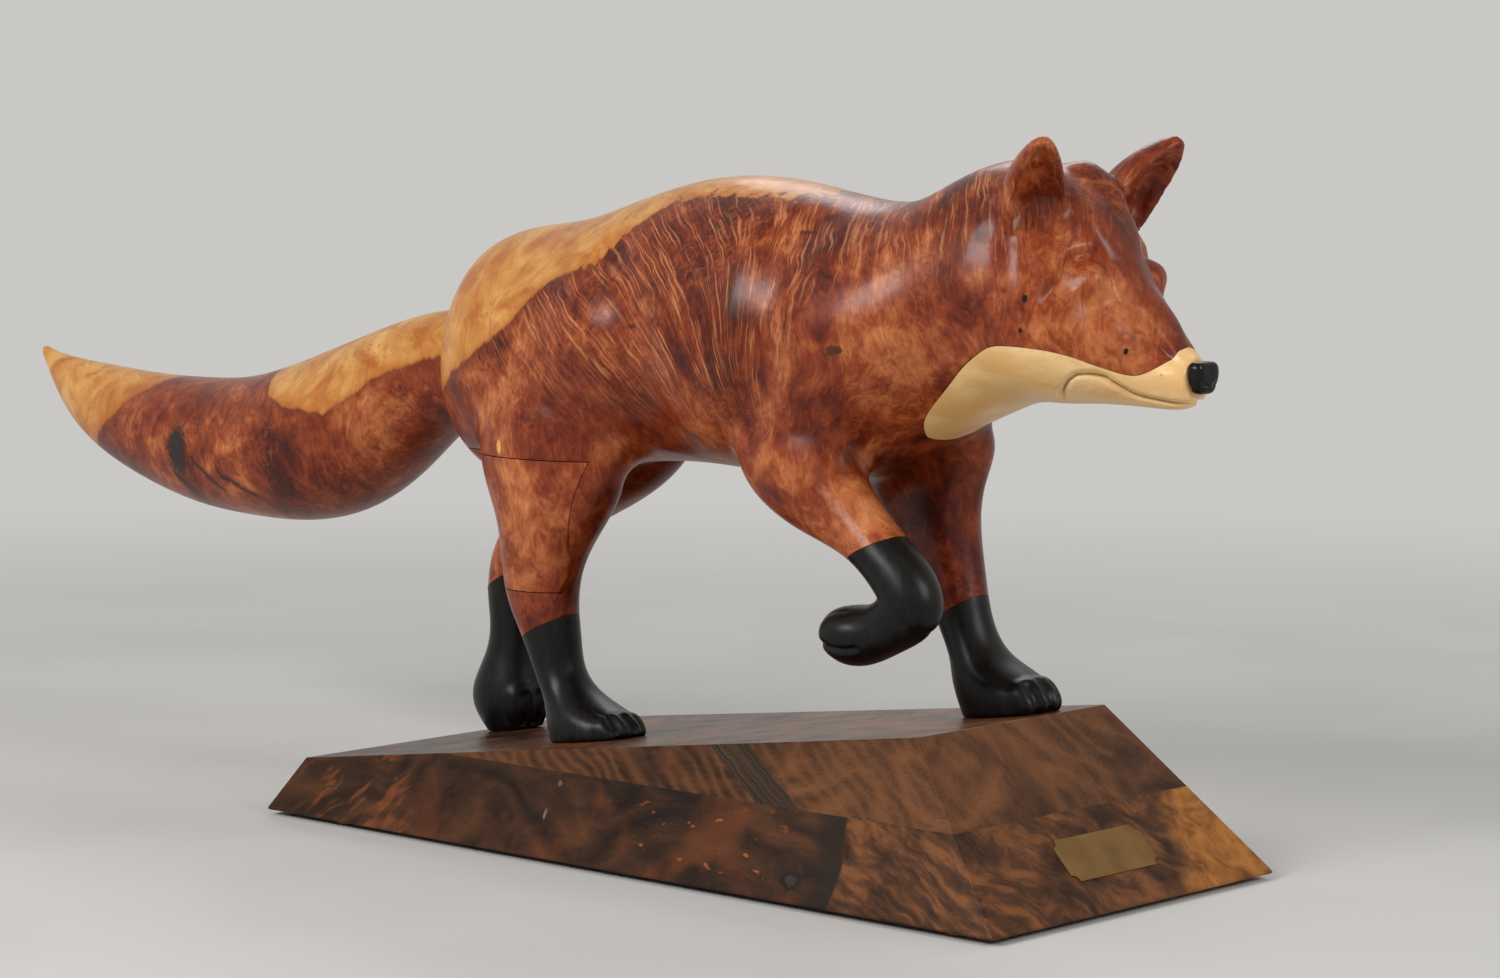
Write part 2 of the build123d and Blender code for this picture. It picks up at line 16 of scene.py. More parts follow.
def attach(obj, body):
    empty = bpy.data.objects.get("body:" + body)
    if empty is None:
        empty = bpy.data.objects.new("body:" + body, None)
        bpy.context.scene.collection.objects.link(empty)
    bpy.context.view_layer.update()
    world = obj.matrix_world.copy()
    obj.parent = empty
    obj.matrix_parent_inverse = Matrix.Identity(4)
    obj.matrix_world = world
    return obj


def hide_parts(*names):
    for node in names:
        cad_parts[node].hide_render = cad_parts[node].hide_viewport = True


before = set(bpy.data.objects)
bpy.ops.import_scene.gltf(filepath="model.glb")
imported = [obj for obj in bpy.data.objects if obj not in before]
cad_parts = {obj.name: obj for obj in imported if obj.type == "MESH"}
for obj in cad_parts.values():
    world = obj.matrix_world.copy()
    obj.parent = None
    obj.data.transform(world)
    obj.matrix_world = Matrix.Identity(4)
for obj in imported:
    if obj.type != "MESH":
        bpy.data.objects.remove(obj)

LOG = logging.getLogger("fox")
GROUND = 0.0917

Point = tuple[float, float, float]
Pair = tuple[float, float]
Colour = tuple[float, float, float, float]


def paint(red: int, green: int, blue: int) -> Colour:
    """A linear colour from the values that a colour chart gives.

    Args:
        red: Red, from 0 to 255.
        green: Green, from 0 to 255.
        blue: Blue, from 0 to 255.

    Returns:
        The linear colour.
    """
    parts = [c / 255 for c in (red, green, blue)]
    linear = [c / 12.92 if c <= 0.04045 else ((c + 0.055) / 1.055) ** 2.4 for c in parts]
    return (linear[0], linear[1], linear[2], 1.0)


def above_ground(x: float, y: float, height: float) -> Vector:
    """A point in metres from millimetres along, across and above the ground under the fox."""
    return Vector((x / 1000, y / 1000, GROUND + height / 1000))


def side_line(points: Iterable[Pair]) -> list[Pair]:
    """A line seen from the side, in metres, from millimetres along and above the ground under the fox."""
    return [(x / 1000, GROUND + height / 1000) for x, height in points]


def eased(value: float, low: float, high: float) -> float:
    """0 at one value and 1 at another, straight between them."""
    return min(max((value - low) / (high - low), 0.0), 1.0)


def flowing(points: Iterable[Vector], steps: int = 8) -> list[Vector]:
    """A smooth line through points.

    Args:
        points: The places that the line passes through, in order.
        steps: How many short runs each stretch is divided into.

    Returns:
        The points of the smooth line, ends included.
    """
    knots = list(points)
    knots = [knots[0] * 2 - knots[1], *knots, knots[-1] * 2 - knots[-2]]
    line = []
    for a, b, c, d in zip(knots, knots[1:], knots[2:], knots[3:]):
        for step in range(steps):
            t = step / steps
            line.append(
                (b * 2 + (c - a) * t + (a * 2 - b * 5 + c * 4 - d) * t**2 + (b * 3 - a - c * 3 + d) * t**3) / 2
            )
    line.append(knots[-2])
    return line


class Cut(Enum):
    """What is left of a piece where a cutter meets it."""

    AWAY = "DIFFERENCE"
    INSIDE = "INTERSECT"


class Field:
    """A value that varies over a surface: one output socket of a finish's nodes."""

    def __init__(self, finish: "Tree", socket: bpy.types.NodeSocket) -> None:
        """Holds the nodes that the value belongs to, and its socket."""
        self.finish = finish
        self.socket = socket

    def maths(self, operation: str, first: Any, second: Any = None) -> "Field":
        """One Math node.

        Args:
            operation: The node's operation.
            first: A number or a field.
            second: A number or a field, where the operation takes two.

        Returns:
            The node's result.
        """
        sockets = {0: first} if second is None else {0: first, 1: second}
        return self.finish.field("ShaderNodeMath", {"operation": operation}, sockets)

    def __add__(self, other: Any) -> "Field":
        """This value plus another."""
        return self.maths("ADD", self, other)

    def __radd__(self, other: Any) -> "Field":
        """A number plus this value."""
        return self.maths("ADD", other, self)

    def __sub__(self, other: Any) -> "Field":
        """This value less another."""
        return self.maths("SUBTRACT", self, other)

    def __rsub__(self, other: Any) -> "Field":
        """A number less this value."""
        return self.maths("SUBTRACT", other, self)

    def __mul__(self, other: Any) -> "Field":
        """This value times another."""
        return self.maths("MULTIPLY", self, other)

    def __rmul__(self, other: Any) -> "Field":
        """A number times this value."""
        return self.maths("MULTIPLY", other, self)

    def __truediv__(self, other: Any) -> "Field":
        """This value over another."""
        return self.maths("DIVIDE", self, other)

    def __rtruediv__(self, other: Any) -> "Field":
        """A number over this value."""
        return self.maths("DIVIDE", other, self)

    def __abs__(self) -> "Field":
        """This value without its sign."""
        return self.maths("ABSOLUTE", self)

    def most(self, other: Any) -> "Field":
        """The larger of this value and another."""
        return self.maths("MAXIMUM", self, other)

    def fold(self, width: float) -> "Field":
        """A zigzag between 0 and a width."""
        return self.maths("PINGPONG", self, width)

    def rise(self, low: float, high: float) -> "Field":
        """A share that eases in and out.

        Args:
            low: The value at which it is 0, which may be the larger one.
            high: The value at which it is 1.

        Returns:
            The share.
        """
        settings = {"interpolation_type": "SMOOTHSTEP"}
        sockets = {0: self, 1: low, 2: high, 3: 0.0, 4: 1.0}
        return self.finish.field("ShaderNodeMapRange", settings, sockets)


class Tree:
    """The nodes of a material or of the world, with one method for every kind of node."""

    def __init__(self, owner: bpy.types.Material | bpy.types.World) -> None:
        """Clears the way for its own nodes.

        Args:
            owner: A new material or world.
        """
        owner.use_nodes = True
        self.tree = owner.node_tree
        self.tree.nodes.clear()

    def feed(self, socket: bpy.types.NodeSocket, value: Any) -> None:
        """Gives a node's input its value.

        Args:
            socket: The input.
            value: A plain value, or a field that is linked to it.
        """
        if isinstance(value, Field):
            self.tree.links.new(value.socket, socket)
        else:
            socket.default_value = value

    def node(
        self, kind: str, settings: dict[str, Any] | None = None, sockets: dict[str | int, Any] | None = None
    ) -> bpy.types.Node:
        """Any node.

        Args:
            kind: The node's type.
            settings: Its settings, set first: "stops" for a ramp, "curve" for a curve's points.
            sockets: The values or fields of its inputs.

        Returns:
            The new node.
        """
        node = self.tree.nodes.new(kind)
        for key, value in (settings or {}).items():
            if key == "stops":
                self._stops(node, value)
            elif key == "curve":
                self._curve(node, value)
            else:
                setattr(node, key, value)
        for key, value in (sockets or {}).items():
            self.feed(node.inputs[key], value)
        return node

    def field(
        self,
        kind: str,
        settings: dict[str, Any] | None = None,
        sockets: dict[str | int, Any] | None = None,
        output: str | int = 0,
    ) -> Field:
        """One output of a new node, by default its first."""
        return Field(self, self.node(kind, settings, sockets).outputs[output])

    @staticmethod
    def _stops(node: bpy.types.Node, stops: list[tuple[float, Colour]]) -> None:
        """Sets a ramp's stops.

        Args:
            node: The ramp.
            stops: Each stop's position and colour, in order.
        """
        elements = node.color_ramp.elements
        while len(elements) < len(stops):
            elements.new(1.0)
        for element, (position, colour) in zip(elements, stops):
            element.position = position
            element.color = colour

    @staticmethod
    def _curve(node: bpy.types.Node, points: list[Pair]) -> None:
        """Sets a curve's points.

        Args:
            node: The curve.
            points: Its points in order, between 0 and 1 both ways.
        """
        curve = node.mapping.curves[0]
        while len(curve.points) < len(points):
            curve.points.new(0.5, 0.5)
        for place, point in zip(curve.points, points):
            place.location = point
        node.mapping.update()


class Nodes(Tree):
    """A material's nodes, from the surface's place to the shader."""

    def __init__(self, name: str) -> None:
        """Starts a material with a shader and its output.

        Args:
            name: The material's name.
        """
        self.material = bpy.data.materials.new(name)
        super().__init__(self.material)
        self.shader = self.node("ShaderNodeBsdfPrincipled")
        self.surface = Field(self, self.shader.outputs[0])
        self.output = self.node("ShaderNodeOutputMaterial", None, {"Surface": self.surface})
        self.place = self.field("ShaderNodeTexCoord", output="Object")

    def axis(self, name: str) -> Field:
        """X, Y or Z of the surface."""
        return self.field("ShaderNodeSeparateXYZ", None, {0: self.place}, name)

    def joined(self, x: Field, y: Field, z: Field) -> Field:
        """A place from its three values."""
        return self.field("ShaderNodeCombineXYZ", None, {0: x, 1: y, 2: z})

    def mapped(self, place: Field, scale: Point, turn: Point = (0, 0, 0), shift: Point = (0, 0, 0)) -> Field:
        """A place that is shifted, turned and scaled.

        Args:
            place: The place to start from.
            scale: The scale along each axis.
            turn: Turns in degrees.
            shift: A shift along each axis.

        Returns:
            The new place.
        """
        turns = tuple(math.radians(t) for t in turn)
        sockets = {"Vector": place, "Location": shift, "Rotation": turns, "Scale": scale}
        return self.field("ShaderNodeMapping", {"vector_type": "POINT"}, sockets)

    def noise(self, place: Field, scale: float, detail: float = 3, rough: float = 0.5, twist: float = 0) -> Field:
        """Cloudy noise between 0 and 1.

        Args:
            place: The place it is read at.
            scale: Clouds to a metre.
            detail: Finer layers that are added.
            rough: How strong the finer layers are.
            twist: How far it is distorted.

        Returns:
            The noise.
        """
        sockets = {"Vector": place, "Scale": scale, "Detail": detail, "Roughness": rough, "Distortion": twist}
        return self.field("ShaderNodeTexNoise", None, sockets)

    def stretched(self, place: Field, scale: Point, detail: float = 3, rough: float = 0.5, twist: float = 0) -> Field:
        """Cloudy noise that is drawn out, with its own number of clouds to a metre along each axis."""
        return self.noise(self.mapped(place, scale), 1, detail, rough, twist)

    def wander(self, scale: float, detail: float, wide: float) -> Field:
        """How far an edge wanders to either side by cloudy noise, within a width in metres."""
        return self.noise(self.place, scale, detail) * wide - wide / 2

    def drifted(self, place: Field, scale: float, far: float) -> Field:
        """A place that drifts about by cloudy noise.

        Args:
            place: The place to start from.
            scale: Clouds to a metre.
            far: How far it drifts, in metres.

        Returns:
            The drifted place.
        """
        clouds = self.field("ShaderNodeTexNoise", None, {"Vector": place, "Scale": scale, "Detail": 2.0}, "Color")
        sockets = {0: clouds, 1: (far, far, far), 2: place}
        return self.field("ShaderNodeVectorMath", {"operation": "MULTIPLY_ADD"}, sockets)

    def distance(self, place: Field, point: Iterable[float]) -> Field:
        """How far a place lies from a point."""
        return self.field("ShaderNodeVectorMath", {"operation": "DISTANCE"}, {0: place, 1: point}, "Value")

    def cells(self, place: Field, scale: float) -> Field:
        """Cell noise: the distance to the nearest cell's middle, with a number of cells to a metre."""
        return self.field("ShaderNodeTexVoronoi", None, {"Vector": place, "Scale": scale}, "Distance")

    def ramp(self, value: Field, stops: list[tuple[float, Colour]]) -> Field:
        """A colour from a value through a ramp's stops."""
        return self.field("ShaderNodeValToRGB", {"stops": stops}, {0: value})

    def line(self, value: Field, points: Sequence[Pair]) -> Field:
        """A height read from a smooth line.

        Args:
            value: The place along the line.
            points: Places along it and the height at each, in rising order.

        Returns:
            The height.
        """
        low = (points[0][0], min(p[1] for p in points))
        span = (points[-1][0] - low[0], max(p[1] for p in points) - low[1])
        curve = [((a - low[0]) / span[0], (h - low[1]) / span[1]) for a, h in points]
        share = (value - low[0]) / span[0]
        height = self.field("ShaderNodeFloatCurve", {"curve": curve}, {"Value": share})
        return height * span[1] + low[1]

    def mix(self, first: Any, second: Any, share: Any) -> Field:
        """Two colours mixed.

        Args:
            first: A colour or a field.
            second: The colour or field that is mixed in.
            share: How much of the second there is.

        Returns:
            The mixed colour.
        """
        settings = {"data_type": "RGBA", "clamp_factor": True}
        return self.field("ShaderNodeMix", settings, {0: share, 6: first, 7: second}, 2)

    def relief(self, height: Field, deep: float) -> Field:
        """A bumpy normal, from a height between 0 and 1 and its depth in metres."""
        return self.field("ShaderNodeBump", None, {"Strength": 1.0, "Distance": deep, "Height": height})

    def dress(self, **sockets: Any) -> bpy.types.Material:
        """Sets the shader's inputs.

        Args:
            **sockets: Values or fields by the inputs' names, with _ for a space.

        Returns:
            The material.
        """
        for key, value in sockets.items():
            self.feed(self.shader.inputs[key.replace("_", " ")], value)
        return self.material


@dataclass(frozen=True)
class Tone:
    """A place where the colour is made lighter, or darker below 0, in millimetres above the ground: the wood's own
    tone in some places, painted light and shade in others.
    """

    at: Point
    reach: float
    lift: float


@dataclass(frozen=True)
class Mark:
    """A pit, knot or fleck, in millimetres above the ground, with its half width and half height."""

    at: Point
    wide: float
    tall: float
    tint: Colour = paint(26, 14, 10)

    def share(self, nodes: Nodes, rough: Field) -> Field:
        """Where the mark lies.

        Args:
            nodes: The material's nodes.
            rough: A field about 1 that breaks its edge.

        Returns:
            The mark's share of the surface.
        """
        centre = above_ground(*self.at)
        wide, tall = self.wide / 1000, self.tall / 1000
        deep = max(wide, tall) * 1.5
        place = nodes.mapped(nodes.place, (1 / wide, 1 / deep, 1 / tall))
        far = nodes.distance(place, (centre.x / wide, centre.y / deep, centre.z / tall))
        return (far * rough).rise(1.1, 0.6)


@dataclass(frozen=True)
class Vein:
    """A dark line along the wood, seen from the side, in millimetres above the ground: a stripe in the grain, and on
    the throat a painted shadow along the lip's groove.
    """

    line: tuple[Pair, ...]
    wide: float
    tint: Colour
    wander: float = 0.0

    def share(self, nodes: Nodes, rough: Field) -> Field:
        """Where the vein lies.

        Args:
            nodes: The material's nodes.
            rough: A field about 1 that breaks its edges.

        Returns:
            The vein's share of the surface.
        """
        x = nodes.axis("X")
        along = side_line(self.line)
        first, last = along[0][0], along[-1][0]
        off = nodes.axis("Z") - nodes.line(x, along)
        if self.wander:
            off = off + (nodes.noise(nodes.place, 70, 3) - 0.5) * (self.wander / 500)
        ends = x.rise(first - 0.002, first + 0.008) * x.rise(last + 0.004, last - 0.016)
        return (abs(off) * rough).rise(self.wide / 1000, 0.0) * ends


def marked(nodes: Nodes, wood: Field, marks: Iterable[Mark | Vein], rough: Field) -> Field:
    """Wood with marks and veins laid over it.

    Args:
        nodes: The material's nodes.
        wood: The wood's colour.
        marks: The marks and veins, in order.
        rough: A field about 1 that breaks their edges.

    Returns:
        The marked wood's colour.
    """
    for mark in marks:
        wood = nodes.mix(wood, mark.tint, mark.share(nodes, rough))
    return wood


@dataclass(frozen=True)
class Burl:
    """Polished red burl, with honey sapwood where the block ran out to the bark."""

    name: str
    shift: Point = (0.0, 0.0, 0.0)
    tones: tuple[Tone, ...] = ()
    marks: tuple[Mark | Vein, ...] = ()
    hanging: float = 0.0
    # Half-widths of a strip of painted shade along the bridge of the nose, by place along the fox.
    painted_bridge_shade: tuple[Pair, ...] = ()
    dark: Colour = paint(66, 19, 7)
    red: Colour = paint(108, 37, 14)
    warm: Colour = paint(142, 62, 28)
    light: Colour = paint(192, 112, 64)
    pale: Colour = paint(216, 146, 96)
    honey: Colour = paint(206, 144, 72)
    deep_honey: Colour = paint(180, 102, 40)
    lean: tuple[Pair, ...] = (
        (-0.1, -0.9), (0.1, -0.9), (0.2, -0.95), (0.25, -0.85), (0.29, -0.5), (0.335, 0.15), (0.38, 0.1),
        (0.45, -0.05), (0.56, -0.15), (0.66, 0.1),
    )
    lean_top: float = 0.4917
    lean_in: float = 0.6
    hem: tuple[Pair, ...] = (
        (0.0, 0.345), (0.12, 0.325), (0.2, 0.315), (0.3, 0.32), (0.345, 0.345), (0.385, 0.405), (0.5, 0.425),
        (0.58, 0.4),
    )

    def figure(self, nodes: Nodes) -> tuple[Field, Field]:
        """The red wood's figure, with the painted light and shade that its tones and the bridge's strip lay in.

        Args:
            nodes: The material's nodes.

        Returns:
            Its colour, and a height for its relief.
        """
        start = nodes.mapped(nodes.place, (1, 1, 1), shift=self.shift)
        drift = nodes.drifted(start, 6, 0.1)
        clouds = nodes.noise(drift, 15, 4, 0.58, 0.5)
        fine = nodes.noise(nodes.mapped(drift, (1, 1, 0.45)), 110, 5, 0.66, 1.4)
        mottle = nodes.noise(nodes.drifted(start, 30, 0.02), 46, 3, 0.55, 0.3)
        tone = clouds * 0.55 + fine * 0.38 + mottle * 0.34 - 0.135
        # Lift or deepen the colour near given points: the wood's own tone in some, painted highlights and painted
        # shade in others.
        for place in self.tones:
            far = nodes.distance(nodes.place, above_ground(*place.at))
            tone = tone + far.rise(place.reach / 1000, 0.0) * place.lift
        stops = [(0.35, self.dark), (0.45, self.red), (0.55, self.warm), (0.68, self.light), (0.82, self.pale)]
        if self.hanging:
            hair, flames, where = self.drapes(nodes)
            tone = tone + (flames - 0.5) * where * 0.34
            wood = nodes.ramp(tone, stops)
            wood = nodes.mix(wood, self.pale, hair.rise(0.53, 0.65) * flames.rise(0.36, 0.55) * where * 0.52)
            wood = nodes.mix(wood, self.dark, hair.rise(0.43, 0.33) * where * 0.6)
        else:
            wood = nodes.ramp(tone, stops)
        # Painted shade: the strip along the bridge of the nose is mixed towards red so that its plane reads darker
        # than the face's side.
        if self.painted_bridge_shade:
            x = nodes.axis("X")
            inside = (nodes.line(x, self.painted_bridge_shade) - abs(nodes.axis("Y"))).rise(-0.003, 0.003)
            wood = nodes.mix(wood, self.red, inside * x.rise(0.568, 0.59) * 0.6)
        eyes = nodes.cells(nodes.drifted(start, 80, 0.012), 260)
        clusters = nodes.noise(start, 19, 2).rise(0.5, 0.66)
        wood = nodes.mix(wood, self.dark, eyes.rise(0.26, 0.08) * clusters * 0.75)
        wood = nodes.mix(wood, self.light, eyes.rise(0.55, 0.8) * clusters * 0.22)
        rough = nodes.noise(nodes.place, 320, 4, 0.7) * 1.8 + 0.1
        return marked(nodes, wood, self.marks, rough), fine

    def drapes(self, nodes: Nodes) -> tuple[Field, Field, Field]:
        """Thin lines that hang down the flank and the neck, drawn together below.

        Args:
            nodes: The material's nodes.

        Returns:
            The lines, the broad flames among them, and how strong both are.
        """
        x, y, z = map(nodes.axis, "XYZ")
        waver = nodes.noise(nodes.place, 14, 2) * 0.02 + nodes.noise(nodes.place, 55, 2) * 0.007
        run = x - abs(y) * self.lean_in - nodes.line(x, self.lean) * (z - self.lean_top) + waver
        hair = nodes.noise(nodes.joined(run * 360, y * 24, z * 30), 1, 2, 0.55)
        flames = nodes.noise(nodes.joined(run * 60, y * 16, z * 14), 1, 3, 0.6)
        low = z - nodes.line(x, self.hem)
        where = low.rise(0.0, 0.07) * (x.rise(0.56, 0.5) * 0.7 + 0.3) * self.hanging
        return hair, flames, where

    def sapwood(self, nodes: Nodes) -> Field:
        """The honey wood.

        Args:
            nodes: The material's nodes.

        Returns:
            Its colour.
        """
        drift = nodes.drifted(nodes.place, 8, 0.06)
        clouds = nodes.noise(drift, 24, 4, 0.6, 0.5)
        wood = nodes.ramp(clouds, [(0.34, self.deep_honey), (0.52, self.honey), (0.72, paint(228, 176, 102))])
        hair = nodes.stretched(drift, (70, 70, 22), 4, 0.65, 0.6)
        wood = nodes.mix(wood, paint(172, 96, 38), hair.rise(0.5, 0.66) * 0.6)
        specks = nodes.cells(drift, 150).rise(0.2, 0.06) * nodes.noise(nodes.place, 14, 2).rise(0.5, 0.62)
        return nodes.mix(wood, paint(132, 68, 26), specks * 0.8)

    def material(self, honey: Callable[[Nodes], Field] | None = None) -> bpy.types.Material:
        """The finished material.

        Args:
            honey: Works out where the honey sapwood lies.

        Returns:
            The material.
        """
        nodes = Nodes(self.name)
        wood, height = self.figure(nodes)
        if honey is not None:
            share = honey(nodes)
            wood = nodes.mix(wood, paint(110, 46, 20), share.rise(0.0, 0.4) * 0.55)
            sap = nodes.mix(self.deep_honey, self.sapwood(nodes), share.rise(0.4, 1.0) * 0.75 + 0.25)
            wood = nodes.mix(wood, sap, share.rise(0.35, 0.55))
        gloss = nodes.noise(nodes.place, 40, 3) * 0.16 + 0.24
        return nodes.dress(
            Base_Color=wood, Roughness=gloss, Normal=nodes.relief(height, 0.00006), Coat_Weight=0.09,
            Coat_Roughness=0.16, Specular_IOR_Level=0.22,
        )


class Honey:
    """Where honey sapwood lies on the pieces of burl, by lines along the fox in millimetres."""

    BACK = [
        (-90, 228), (-50, 250), (-15, 270), (3, 280), (28, 295), (51, 308), (64, 320), (79, 334), (103, 347),
        (133, 357), (150, 369), (162, 380), (179, 393), (193, 402), (208, 408), (243, 410), (276, 409), (315, 413),
        (340, 415), (380, 440), (480, 500),
    ]
    TAIL_TOP = [
        (-420, 340), (-330, 300), (-300, 258), (-288, 240), (-277, 233), (-236, 229), (-213, 225), (-194, 229),
        (-172, 241), (-151, 254), (-124, 265), (-95, 273), (-77, 276), (-50, 280),
    ]
    TIP_SLANT = 1.51
    TIP_SHIFT = 0.809

    @staticmethod
    def _line(nodes: Nodes, points: Sequence[Pair]) -> Field:
        """How far the surface lies above a line along the fox, in metres."""
        return nodes.axis("Z") - nodes.line(nodes.axis("X"), side_line(points))

    @staticmethod
    def _waver(nodes: Nodes, fine: Any) -> Field:
        """How far a boundary wanders, in metres, its finer part as far as a number or field gives."""
        hair = nodes.noise(nodes.mapped(nodes.place, (1, 1, 0.3)), 90, 4, 0.6) - 0.5
        return nodes.wander(22, 2, 0.014) + hair * fine

    @classmethod
    def back(cls, nodes: Nodes) -> Field:
        """Along the back, from the rump to the withers, its edge softer towards the front."""
        soft = nodes.axis("X").rise(0.08, 0.2) * 0.026 + 0.012
        return (cls._line(nodes, cls.BACK) + cls._waver(nodes, soft)).rise(-0.012, 0.016)

    @classmethod
    def tail(cls, nodes: Nodes) -> Field:
        """Along the top of the tail's root, and over its tip.

        Args:
            nodes: The material's nodes.

        Returns:
            The sapwood's share, from 0 to 1.
        """
        waver = cls._waver(nodes, 0.012)
        top = (cls._line(nodes, cls.TAIL_TOP) + waver).rise(-0.012, 0.016)
        slant = nodes.axis("X") - (nodes.axis("Z") - GROUND) * cls.TIP_SLANT + cls.TIP_SHIFT
        return top.most((slant + waver * 1.4).rise(0.02, -0.05))


@dataclass(frozen=True)
class PaleWood:
    """Cream close-grained wood of the throat."""

    name: str = "pale_wood"
    cream: Colour = paint(248, 208, 148)
    straw: Colour = paint(232, 182, 114)
    dash: Colour = paint(146, 96, 52)
    veins_and_shadows: tuple[Vein, ...] = ()

    def material(self) -> bpy.types.Material:
        """Mixes the finish.

        Returns:
            The finished material.
        """
        nodes = Nodes(self.name)
        drift = nodes.drifted(nodes.place, 9, 0.03)
        clouds = nodes.stretched(drift, (10, 26, 40))
        wood = nodes.mix(self.cream, self.straw, clouds.rise(0.38, 0.68))
        grain = nodes.stretched(drift, (14, 240, 240), 3, 0.6)
        wood = nodes.mix(wood, self.straw, grain.rise(0.5, 0.7) * 0.6)
        dashes = nodes.stretched(drift, (60, 420, 420), 2).rise(0.68, 0.76)
        wood = nodes.mix(wood, self.dash, dashes * nodes.noise(nodes.place, 26, 2).rise(0.45, 0.6) * 0.8)
        # Painted shadow lines along grooves, such as the lip's, laid over the wood.
        wood = marked(nodes, wood, self.veins_and_shadows, nodes.noise(nodes.place, 90, 2) * 0.6 + 0.7)
        return nodes.dress(
            Base_Color=wood, Roughness=grain * 0.12 + 0.3, Normal=nodes.relief(grain, 0.0001), Coat_Weight=0.15,
            Coat_Roughness=0.25,
        )


@dataclass(frozen=True)
class BlackWood:
    """Black-dyed wood of the paws and the nose, its gloss set by its polish."""

    name: str
    polish: float
    black: Colour = paint(9, 9, 9)
    soft_black: Colour = paint(25, 23, 22)
    rubbed: Colour = paint(30, 28, 26)

    def material(self) -> bpy.types.Material:
        """Mixes the finish.

        Returns:
            The finished material.
        """
        nodes = Nodes(self.name)
        drift = nodes.drifted(nodes.place, 20, 0.02)
        grain = nodes.stretched(drift, (260, 260, 30), 4, 0.6)
        wood = nodes.mix(self.black, self.soft_black, grain.rise(0.45, 0.75))
        rub = nodes.noise(nodes.place, 34, 3)
        wood = nodes.mix(wood, self.rubbed, rub.rise(0.55, 0.8) * 0.4)
        gloss = rub * 0.2 + grain * 0.12 + self.polish
        return nodes.dress(
            Base_Color=wood, Roughness=gloss, Normal=nodes.relief(grain, 0.00012), Specular_IOR_Level=0.23
        )


@dataclass(frozen=True)
class Walnut:
    """Oiled walnut, with swirling figure."""

    name: str
    dark: Colour
    brown: Colour
    light: Colour

    def features(self, nodes: Nodes, wood: Field) -> Field:
        """What one board shows beyond its common figure: nothing on a plain board."""
        return wood

    @staticmethod
    def figure(nodes: Nodes) -> tuple[Field, Field, Field]:
        """The figure that both boards share.

        Args:
            nodes: The material's nodes.

        Returns:
            The swirls, the grain and the pores.
        """
        drift = nodes.drifted(nodes.place, 6, 0.12)
        clouds = nodes.stretched(drift, (7, 12, 16), 5, 0.6, 0.6)
        rings = (nodes.stretched(drift, (5, 5, 11), 1.5) * 17).fold(1.0)
        grain = nodes.stretched(drift, (24, 190, 190), 4, 0.6)
        pores = nodes.stretched(drift, (70, 700, 700), 2).rise(0.62, 0.72)
        return clouds * 0.62 + grain * 0.22 + rings * 0.16, grain, pores

    def material(self) -> bpy.types.Material:
        """Mixes the finish.

        Returns:
            The finished material.
        """
        nodes = Nodes(self.name)
        tone, grain, pores = self.figure(nodes)
        wood = nodes.ramp(tone, [(0.36, self.dark), (0.5, self.brown), (0.66, self.light)])
        wood = nodes.mix(wood, self.dark, pores * 0.5)
        wood = self.features(nodes, wood)
        gloss = nodes.noise(nodes.place, 30, 3) * 0.16 + 0.26
        return nodes.dress(
            Base_Color=wood, Roughness=gloss, Normal=nodes.relief(grain - pores, 0.00015), Coat_Weight=0.02,
            Coat_Roughness=0.2, Specular_IOR_Level=0.12,
        )


